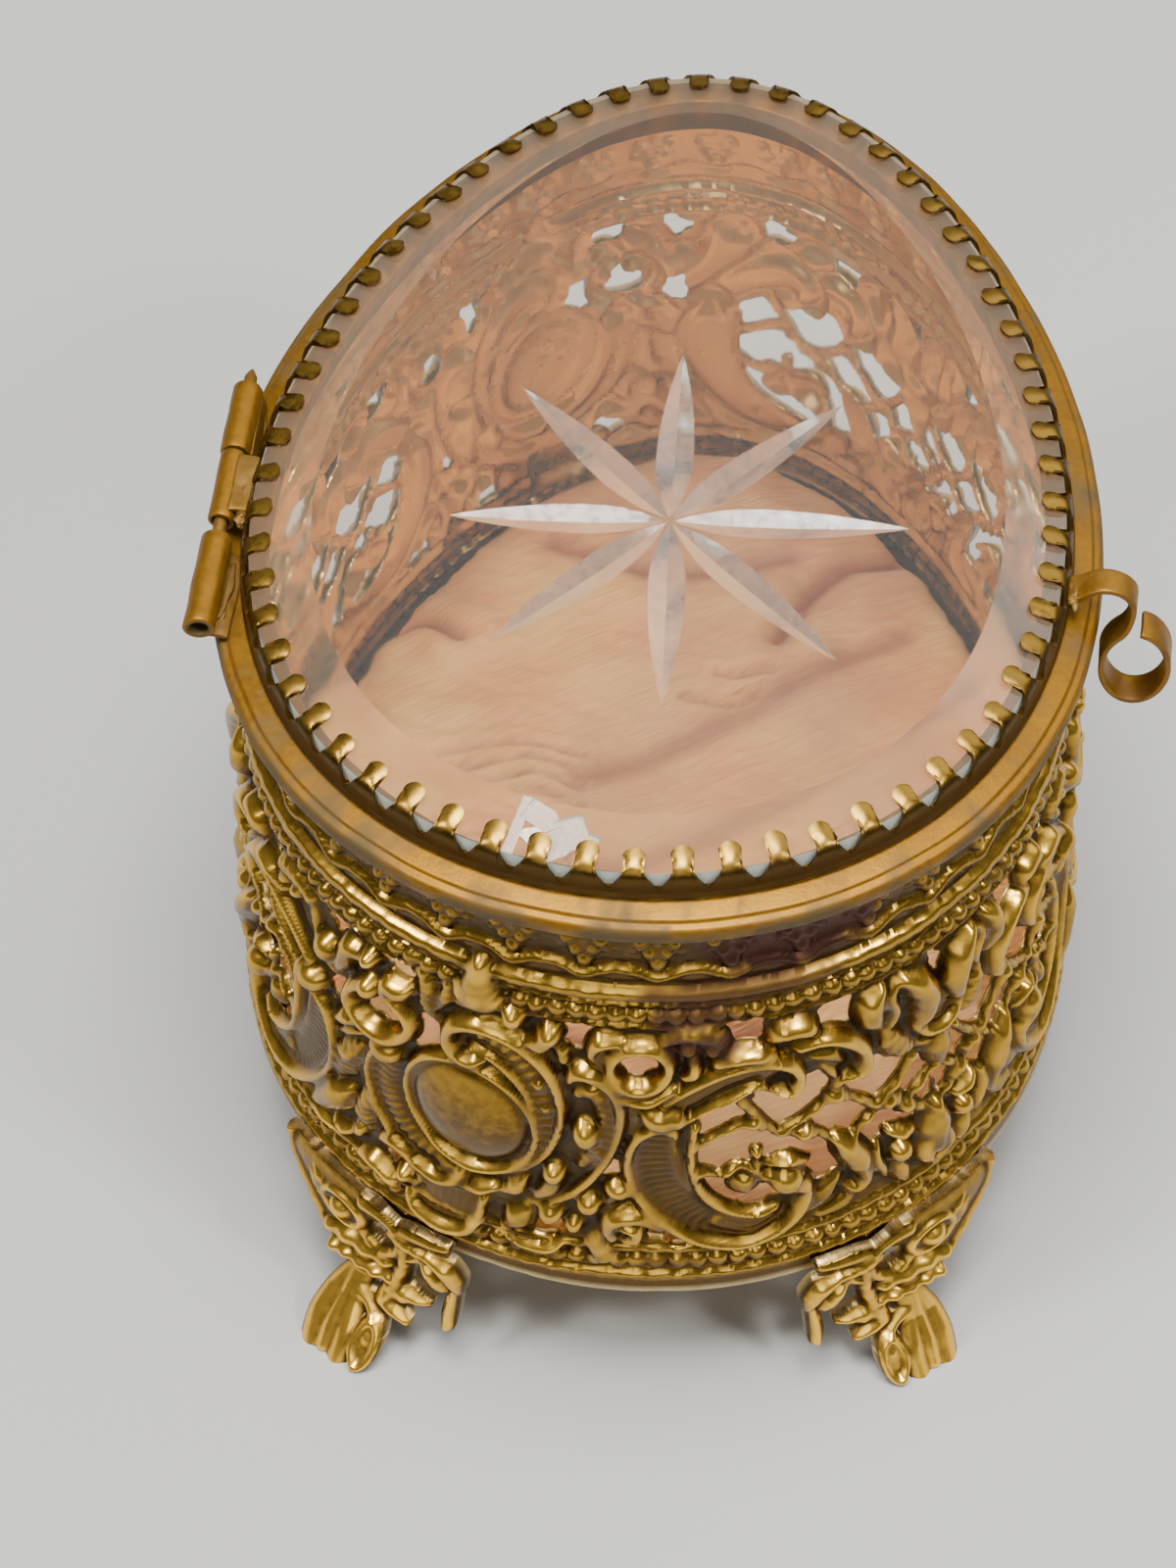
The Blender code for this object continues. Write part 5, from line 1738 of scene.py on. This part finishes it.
@dataclass(frozen=True)
class Fold:
    """One fold of the silk: its start, its heading, its length, how far it bows, its depth and its width."""

    start: Point
    heading: float
    length: float
    bow: float
    deep: float
    wide: float

    def line(self) -> list[Point]:
        """The fold's start, its bowed middle and its end."""
        x, y = self.start
        bends = (turned(0.5 * self.length, self.bow, self.heading), turned(self.length, 0.0, self.heading))
        return [(x, y), *((x + across, y + along) for across, along in bends)]


@dataclass
class SilkPad:
    """The padded silk that lines the floor, crowned and creased."""

    scale: float = 10.0
    voxel: float = 0.0098
    frames: int = 16
    most: float = 0.8
    section: tuple[Point, ...] = (
        (-1.0, 14.9), (0.4, 16.4), (1.0, 17.8), (-0.6, 18.7), (-5.0, 19.2), (-13.0, 19.5), (-26.0, 19.6),
    )
    folds: tuple[Fold, ...] = (
        Fold((-28.0, 19.0), -8.0, 7.0, 1.5, 1.3, 1.7), Fold((-8.0, 2.0), 37.0, 34.0, -1.0, 0.45, 2.6),
        Fold((8.0, 20.0), 52.0, 16.0, 2.0, 1.2, 2.4), Fold((-14.0, 30.0), 0.0, 22.0, -3.0, 0.7, 2.4),
        Fold((-24.0, -14.0), -10.0, 38.0, -7.0, 0.9, 2.4), Fold((3.0, 15.0), 5.0, 5.0, 0.0, 0.7, 0.8),
        Fold((0.0, 12.0), 12.0, 7.0, -1.0, 0.6, 0.8),
    )
    gathers: int = 4
    gather_start: Point = (-21.0, 4.0)
    gather_step: Point = (1.2, -1.7)
    gather_length: float = 13.0

    def slack(self) -> bpy.types.Object:
        """Make the pad before it is filled, a few times its size."""
        pad = start("silk_cushion", bpy.ops.mesh.primitive_circle_add, vertices=96, radius=1.0, fill_type="NGON")
        pull_up(pad, len(self.section) - 1)
        points = points_of(pad)
        grows, heights = (np.array(column)[np.round(points[:, 2]).astype(int)] for column in zip(*self.section))
        flat = PLAN.outline(np.arctan2(points[:, 1], points[:, 0]), 0.0)
        flat *= (1.0 + grows / np.hypot(flat[:, 0], flat[:, 1]))[:, None]
        move_points(pad, np.column_stack([flat, heights]) * MM * self.scale)
        face_outwards(pad)
        apply_modifier(pad, "REMESH", mode="VOXEL", voxel_size=self.voxel)
        return pad

    def swell(self, pad: bpy.types.Object) -> None:
        """Fill the pad from inside, as a cushion is, and stop it where the box would."""
        before = points_of(pad)
        take(pad)
        cloth = pad.modifiers.new("Cloth", "CLOTH")
        cloth.settings.use_pressure = True
        cloth.settings.uniform_pressure_force = 4.0
        cloth.settings.effector_weights.gravity = 0.0
        for number in range(1, self.frames + 1):
            bpy.context.scene.frame_set(number)
        bpy.ops.object.modifier_apply(modifier=cloth.name)
        bpy.context.scene.frame_set(1)
        gone = points_of(pad) - before
        size = np.linalg.norm(gone, axis=1, keepdims=True)
        most = self.most * MM * self.scale
        move_points(pad, before + gone * np.minimum(1.0, most / np.maximum(size, 1e-9)))

    def gathered(self) -> tuple[Fold, ...]:
        """The small gathers at the front, side by side, each a little shorter than the last."""
        (x, y), (right, up) = self.gather_start, self.gather_step
        return tuple(
            Fold((x + index * right, y + index * up), 4.0, self.gather_length - index, 1.0, 0.6, 0.75)
            for index in range(self.gathers)
        )

    def creased(self, local: np.ndarray) -> tuple[np.ndarray, np.ndarray]:
        """Lay the silk's folds and creases into the pad's top.

        Args:
            local: The pad's places, in the plan's own millimetres.

        Returns:
            The creased places, and how deep each lies in a crease.
        """
        flat = local[:, :2]
        change = 0.6 * uneven(flat, 21.0, 61) + 0.28 * uneven(flat, 7.5, 62)
        depth = np.zeros(len(local))
        for fold in self.folds + self.gathered():
            gap = np.full(len(local), 1e9)
            for point in through(fold.line(), 0.6)[:, :2]:
                gap = np.minimum(gap, np.hypot(*(flat - point).T))
            deep, wide = fold.deep, fold.wide
            sink = np.exp(-((gap / (0.45 * wide)) ** 2))
            depth = np.maximum(depth, sink * min(1.0, 0.45 + 0.5 * deep))
            change += 0.75 * deep * np.exp(-(((gap - 1.5 * wide) / (0.9 * wide)) ** 2)) - deep * sink
        change += 0.09 * uneven(flat @ np.array([[0.35, -0.17], [0.94, 0.06]]), 1.4, 63)
        top = soft_edge(local[:, 2], 16.6, 18.6)
        return local + np.column_stack([0.0 * change, 0.0 * change, top * change]), depth * top

    def build(self) -> bpy.types.Object:
        """Make the pad: swelled as cloth, then creased."""
        pad = self.slack()
        self.swell(pad)
        apply_modifier(pad, "SMOOTH", factor=0.5, iterations=3)
        apply_modifier(pad, "SUBSURF", levels=1, render_levels=1)
        places, depth = self.creased(points_of(pad) / (MM * self.scale))
        move_points(pad, PLAN.to_frame(places))
        # The crease depth, which the silk's finish darkens as painted shade.
        paint(pad, "crease", depth)
        smooth_shade(pad)
        return pad


def linear(text: str) -> tuple[float, float, float, float]:
    """An sRGB hex colour as the linear colour that nodes take."""
    parts = (int(text[index:index + 2], 16) / 255.0 for index in (1, 3, 5))
    red, green, blue = (part / 12.92 if part <= 0.04045 else ((part + 0.055) / 1.055) ** 2.4 for part in parts)
    return red, green, blue, 1.0


def add_node(tree: bpy.types.NodeTree, kind: str, feeds: Mapping[Any, Any], output: str | int = 0,
             **settings: Any) -> bpy.types.NodeSocket | None:
    """Add a shader node with its settings and links.

    Args:
        tree: The tree it goes into.
        kind: The node's type, without its usual beginning.
        feeds: For each input, by name or place, an output to link from or a value.
        output: Which of its outputs is wanted.
        settings: The node's own properties.

    Returns:
        That output, or nothing from a node that has none.
    """
    node = tree.nodes.new(f"ShaderNode{kind}")
    for name, value in settings.items():
        setattr(node, name, value)
    for name, value in feeds.items():
        if isinstance(value, bpy.types.NodeSocket):
            tree.links.new(value, node.inputs[name])
        else:
            node.inputs[name].default_value = value
    return node.outputs[output] if node.outputs else None


class Finish:
    """A finish mixed from nodes: each kind says in `mix` what its shader's sockets take."""

    @cache
    def material(self) -> bpy.types.Material:
        """Mix the finish, once."""
        material = bpy.data.materials.new(self.name)
        material.use_nodes = True
        material.node_tree.nodes.clear()
        add = partial(add_node, material.node_tree)
        add("OutputMaterial", {"Surface": add("BsdfPrincipled", self.mix(add))})
        return material


@dataclass(frozen=True)
class GiltBrass(Finish):
    """Stamped brass, gilt and then tarnished.

    Stamping leaves soft, satin metal.  The gilding is bright where hands have rubbed it, and is painted
    bright on faces that look up as painted highlight; it is olive and brown where grease and polish have
    dried in the hollows, together with painted shade there and on faces that look down, and a little
    coppery in patches.  Its back is paler: the ungilt brass, lightened as painted light for the hazy
    reflection off the glass.
    """

    name: str = "gilt_brass"
    # Gilding where it is worn bright, laid on also as painted highlight.
    bright: str = "#ffc84c"
    middle: str = "#5a421a"
    # The back's paler colour: the ungilt brass, lightened as painted light for the hazy reflection off the glass
    # above it.
    inner: str = "#ecd49c"
    clean: float = 1.0
    matt: float = 0.72
    copper: str = "#7d562a"
    # Grease and polish dried in the hollows, laid on also as painted shade.
    dirt_and_shade: str = "#31240c"
    stain: str = "#46261a"
    polish: Point = (0.21, 0.47)
    mottle_mm: float = 5.5
    speck_mm: float = 0.8
    pitted: float = 0.3
    grain_mm: float = 0.22
    grain_depth: float = 0.012

    def mix(self, add: Callable[..., Any]) -> dict[str, Any]:
        """Lay gilding with its painted highlight, patches, the paler back, dirt with its painted shade and old dye
        over each other, and roughen what is dull.
        """
        place = add("TexCoord", {}, "Object")
        raised, hollow, stain, inside = (
            add("Attribute", {}, "Fac", attribute_name=name) for name in ("raised", "hollow", "stain", "inside")
        )
        mottle, speck, grain = (
            add("TexNoise", {"Vector": place, "Scale": 1.0 / (size * MM), "Detail": 4.0, "Roughness": 0.6}, "Fac")
            for size in (self.mottle_mm, self.speck_mm, self.grain_mm)
        )
        dirt_and_shade = add("Math", {0: mottle, 1: 0.55, 2: hollow}, operation="MULTIPLY_ADD")
        dirt_and_shade = add("Math", {0: speck, 1: 0.4, 2: dirt_and_shade}, operation="MULTIPLY_ADD")
        dirt_and_shade = add("MapRange", {"Value": dirt_and_shade, "From Min": 0.92, "From Max": 1.42})
        pits = 0.5 * self.pitted
        wear_and_highlight = add("Math", {0: speck, 1: self.pitted, 2: raised}, operation="MULTIPLY_ADD")
        wear_and_highlight = add("MapRange", {"Value": wear_and_highlight, "From Min": 0.27 + pits, "From Max": 1.0 + pits})
        patch = add("MapRange", {"Value": mottle, "From Min": 0.52, "From Max": 0.72, "To Max": 0.5})
        # The back takes the paler colour, and less of the dirt and painted shade.
        back = add("Math", {0: inside, 1: 0.75}, operation="MULTIPLY")
        dirt_and_shade_amount = add("Math", {0: inside, 1: -0.62, 2: 1.0}, operation="MULTIPLY_ADD")
        dirt_and_shade_amount = add("Math", {0: dirt_and_shade_amount, 1: dirt_and_shade}, operation="MULTIPLY")
        colour = linear(self.middle)
        for amount, over in ((patch, self.copper), (wear_and_highlight, self.bright), (back, self.inner), (dirt_and_shade_amount, self.dirt_and_shade),
                             (stain, self.stain)):
            colour = add("Mix", {0: amount, 6: colour, 7: linear(over)}, 2, data_type="RGBA")
        dull = add("Math", {0: dirt_and_shade, 1: stain}, operation="MAXIMUM")
        dull = add("Math", {0: inside, 1: 0.06, 2: dull}, operation="MULTIPLY_ADD")
        dull = add("Math", {0: speck, 1: 0.25, 2: dull}, operation="MULTIPLY_ADD", use_clamp=True)
        rough, metal = (
            add("MapRange", {"Value": dull, "To Min": at_best, "To Max": at_worst})
            for at_best, at_worst in (self.polish, (self.clean, self.matt))
        )
        relief = add("Math", {0: grain, 1: 0.5, 2: speck}, operation="MULTIPLY_ADD")
        bumps = add("Bump", {"Height": relief, "Strength": 0.55, "Distance": self.grain_depth * MM})
        return {"Base Color": colour, "Roughness": rough, "Metallic": metal, "Normal": bumps}


@dataclass(frozen=True)
class ClearGlass(Finish):
    """Old window-clear glass, ground and polished by hand.

    It is faintly milky with age and dust; on the plain plate that pale milkiness also stands for the veil of
    reflected light over what lies beneath, a painted reflection.  A soft wipe of grease only shows in its gloss.
    """

    name: str = "clear_glass"
    tint: str = "#fcf3ea"
    # What is not see-through is pale diffuse: milkiness of age and dust, and a painted reflection.
    clear: float = 0.985
    polish: Point = (0.015, 0.05)
    smear_mm: float = 9.0

    def mix(self, add: Callable[..., Any]) -> dict[str, Any]:
        """Smear the polish of clear glass."""
        place = add("TexCoord", {}, "Object")
        smear = add("TexNoise", {"Vector": place, "Scale": 1.0 / (self.smear_mm * MM), "Detail": 3.0}, "Fac")
        rough = add("MapRange", {"Value": smear, "From Min": 0.4, "From Max": 0.7, "To Min": self.polish[0],
                                 "To Max": self.polish[1]})
        return {"Base Color": linear(self.tint), "Roughness": rough, "IOR": 1.5, "Transmission Weight": self.clear}


@dataclass(frozen=True)
class PeachSilk(Finish):
    """Peach silk satin, laid over padding: fine fibres run slantwise, its creases are painted brown as painted shade,
    and broad patches of painted shade lie over it.
    """

    name: str = "peach_silk"
    light: str = "#ffda86"
    middle: str = "#f5a96a"
    shade: str = "#a8705c"
    # Brown laid into the creases: painted shade.
    fold: str = "#84432f"
    fibre_mm: float = 0.3
    run_mm: float = 3.6
    cloud_mm: float = 11.0
    shade_mm: float = 26.0
    slant: float = -32.0

    def mix(self, add: Callable[..., Any]) -> dict[str, Any]:
        """Lay fibres, clouds, broad painted shade and painted shade in the creases over each other."""
        place = add("TexCoord", {}, "Object")
        crease = add("Attribute", {}, "Fac", attribute_name="crease")
        slanted = add("Mapping", {"Vector": place, "Rotation": (0.0, 0.0, math.radians(self.slant))})
        run, across = 1.0 / (self.run_mm * MM), 1.0 / (self.fibre_mm * MM)
        stretched = add("Mapping", {"Vector": slanted, "Scale": (run, across, run)})
        fibre = add("TexNoise", {"Vector": stretched, "Scale": 1.0, "Detail": 3.0, "Distortion": 0.4}, "Fac")
        cloud, broad = (
            add("TexNoise", {"Vector": place, "Scale": 1.0 / (size * MM), "Detail": detail}, "Fac")
            for size, detail in ((self.cloud_mm, 4.0), (self.shade_mm, 2.0))
        )
        tone = add("Math", {0: fibre, 1: 0.9, 2: cloud}, operation="MULTIPLY_ADD")
        tone = add("MapRange", {"Value": tone, "From Min": 0.7, "From Max": 1.2})
        # Broad patches of painted shade, laid at random.
        broad_shade = add("MapRange", {"Value": broad, "From Min": 0.42, "From Max": 0.6, "To Max": 0.5})
        colour = linear(self.middle)
        for amount, over in ((tone, self.light), (broad_shade, self.shade), (crease, self.fold)):
            colour = add("Mix", {0: amount, 6: colour, 7: linear(over)}, 2, data_type="RGBA")
        bumps = add("Bump", {"Height": fibre, "Strength": 1.0, "Distance": 0.2 * MM})
        return {"Base Color": colour, "Roughness": 0.5, "Normal": bumps, "Sheen Weight": 0.2,
                "Sheen Roughness": 0.4}


@dataclass(frozen=True)
class PaleTable(Finish):
    """Plain pale board: a smooth matt surface."""

    name: str = "pale_table"
    colour: str = "#a9a8a5"

    def mix(self, add: Callable[..., Any]) -> dict[str, Any]:
        """One pale colour."""
        return {"Base Color": linear(self.colour), "Roughness": 0.55}


FINISHES = {
    Slot.GILT: GiltBrass(),
    Slot.WORN: GiltBrass(
        # Its dark colour is dirt, and painted shade down the rim's outer face.
        "worn_gilt_brass", bright="#8e620e", middle="#7a561a", copper="#96601a", dirt_and_shade="#54421f", clean=0.8, matt=0.4,
        polish=(0.42, 0.66), mottle_mm=3.2, speck_mm=0.6, pitted=1.7, grain_depth=0.05),
    Slot.GLASS: ClearGlass(),
    Slot.SILK: PeachSilk(),
}
WORKED_GLASS = (
    ClearGlass("cut_glass", tint="#f4ecdf", clear=0.9, polish=(0.05, 0.24), smear_mm=0.9),
    ClearGlass("ground_glass", tint="#dfe6d6", clear=0.25, polish=(0.3, 0.5), smear_mm=1.5),
    # The flaked faces are pale and partly milky, and show as a white patch at the front of the bevel.
    ClearGlass("chipped_glass", tint="#f2ece2", clear=0.66, polish=(0.12, 0.4), smear_mm=0.5),
    # The bevel is warmer and milkier than the plate: painted reflection, a paler pinkish band round the lid.
    ClearGlass("bevelled_glass", tint="#ffe6c4", clear=0.94, polish=(0.03, 0.12), smear_mm=3.0),
)


def settle(thing: bpy.types.Object, body: Body, slot: Slot, *nodes: str) -> None:
    """Dress a finished piece and tie it to the frame.

    Args:
        thing: The piece.
        body: The body it moves with.
        slot: The record's finish it takes.
        nodes: The frame's nodes that it stands for.
    """
    thing.data.materials.clear()
    thing.data.materials.append(FINISHES[slot].material())
    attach(thing, body.value)
    if nodes:
        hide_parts(*nodes)
    LOG.info("%s: %d faces, on %s, in %s", thing.name, len(thing.data.polygons), body.value, slot.value)


@dataclass
class Studio:
    """The table, the soft lights and the camera.

    A lamp has a name, a place, the height that it is turned towards, a size and a power in watts.
    """

    aim: Place = (-5.7, -9.7, 37.0)
    azimuth: float = 7.5
    elevation: float = 53.0
    roll: float = -0.8
    distance: float = 461.0
    lens: float = 123.75
    sensor: float = 36.0
    lamps: tuple[tuple[str, Place, float, float, float], ...] = (
        ("overhead", (0.0, -0.1, 0.9), 0.03, 0.4, 14.8), ("front_softbox", (0.0, -0.95, 0.75), 0.04, 0.6, 2.5),
        ("left_key", (-0.55, -0.3, 0.75), 0.04, 0.14, 4.4), ("right_key", (0.55, -0.3, 0.75), 0.04, 0.14, 4.4),
        ("far_panel", (0.0, 0.9, 1.1), 0.05, 1.2, 2.0), ("right_panel", (0.6, 0.5, 0.75), 0.05, 0.7, 3.3),
    )

    def build(self) -> None:
        """Set the table, the lights and the camera."""
        table = start("table_top", bpy.ops.mesh.primitive_plane_add, size=6.0)
        table.data.materials.append(PaleTable().material())
        world = bpy.data.worlds.new("studio_air")
        world.use_nodes = True
        air = world.node_tree.nodes["Background"]
        air.inputs[0].default_value = (0.5, 0.5, 0.5, 1.0)
        air.inputs[1].default_value = 0.28
        bpy.context.scene.world = world
        for name, place, level, size, watts in self.lamps:
            quiet_selection()
            bpy.ops.object.light_add(type="AREA", location=place)
            lamp = bpy.context.object
            lamp.name = name
            towards = Vector((0.0, 0.0, level)) - Vector(place)
            lamp.rotation_euler = towards.to_track_quat("-Z", "Y").to_euler()
            lamp.data.shape = "SQUARE"
            lamp.data.size = size
            lamp.data.energy = watts
        self.camera()

    def camera(self) -> None:
        """Stand the camera where the view is taken from."""
        quiet_selection()
        bpy.ops.object.camera_add()
        camera = bpy.context.object
        camera.name = "view"
        turns = ((self.azimuth, "Z"), (90.0 - self.elevation, "X"), (self.roll, "Z"))
        azimuth, tilt, roll = (Matrix.Rotation(math.radians(turn), 4, axis) for turn, axis in turns)
        turn = azimuth @ tilt @ roll
        aim = Vector(PLAN.to_frame(np.array([self.aim]))[0])
        away = turn.to_3x3() @ Vector((0.0, 0.0, self.distance * MM))
        camera.matrix_world = Matrix.Translation(aim + away) @ turn
        camera.data.sensor_width = self.sensor
        camera.data.lens = self.lens
        camera.data.clip_start = 0.01
        bpy.context.scene.camera = camera


FOOT_PLACES = (
    ("front_left", -118.0, -1.0, 1.5), ("front_right", -56.0, 1.0, 0.0), ("back_right", 52.0, -1.0, 0.4),
    ("back_left", 128.0, 1.0, 0.7),
)


def main() -> None:
    """Build, dress and settle the whole casket."""
    logging.basicConfig(level=logging.INFO, format="%(name)s: %(message)s")
    for index, length in enumerate(Gallery().build()):
        settle(length, Body.BOX, Slot.GILT, *(("gallery_band",) if index == 0 else ()))
    work = FootWork()
    relief = work.draw()
    for name, angle, knee_side, splay in FOOT_PLACES:
        foot = Foot(f"stamped_foot_{name}", angle, knee_side, splay).build(relief, work)
        settle(foot, Body.BOX, Slot.GILT, f"foot_{name}")
    settle(BaseRing().build(), Body.BOX, Slot.GILT, "base_pan")
    settle(MouthRim().build(), Body.BOX, Slot.WORN, "mouth_rim")
    settle(Bezel().build(), Body.LID, Slot.GILT, "lid_bezel")
    pane_work = GlassPane()
    pane = pane_work.build()
    settle(pane, Body.LID, Slot.GLASS, "lid_glass")
    for finish in WORKED_GLASS:
        pane.data.materials.append(finish.material())
    pane.data.polygons.foreach_set("material_index", pane_work.finish_of(pane).astype(np.int32))
    hinge = Hinge()
    for body, pieces in ((Body.BOX, hinge.on_box()), (Body.LID, hinge.on_lid())):
        for node, piece in pieces.items():
            settle(piece, body, Slot.WORN, node)
    settle(ThumbPull().build(), Body.LID, Slot.WORN, "thumb_pull")
    pad = SilkPad().build()
    settle(pad, Body.BOX, Slot.SILK, "silk_pad")
    Studio().build()


if __name__ == "__main__":
    main()
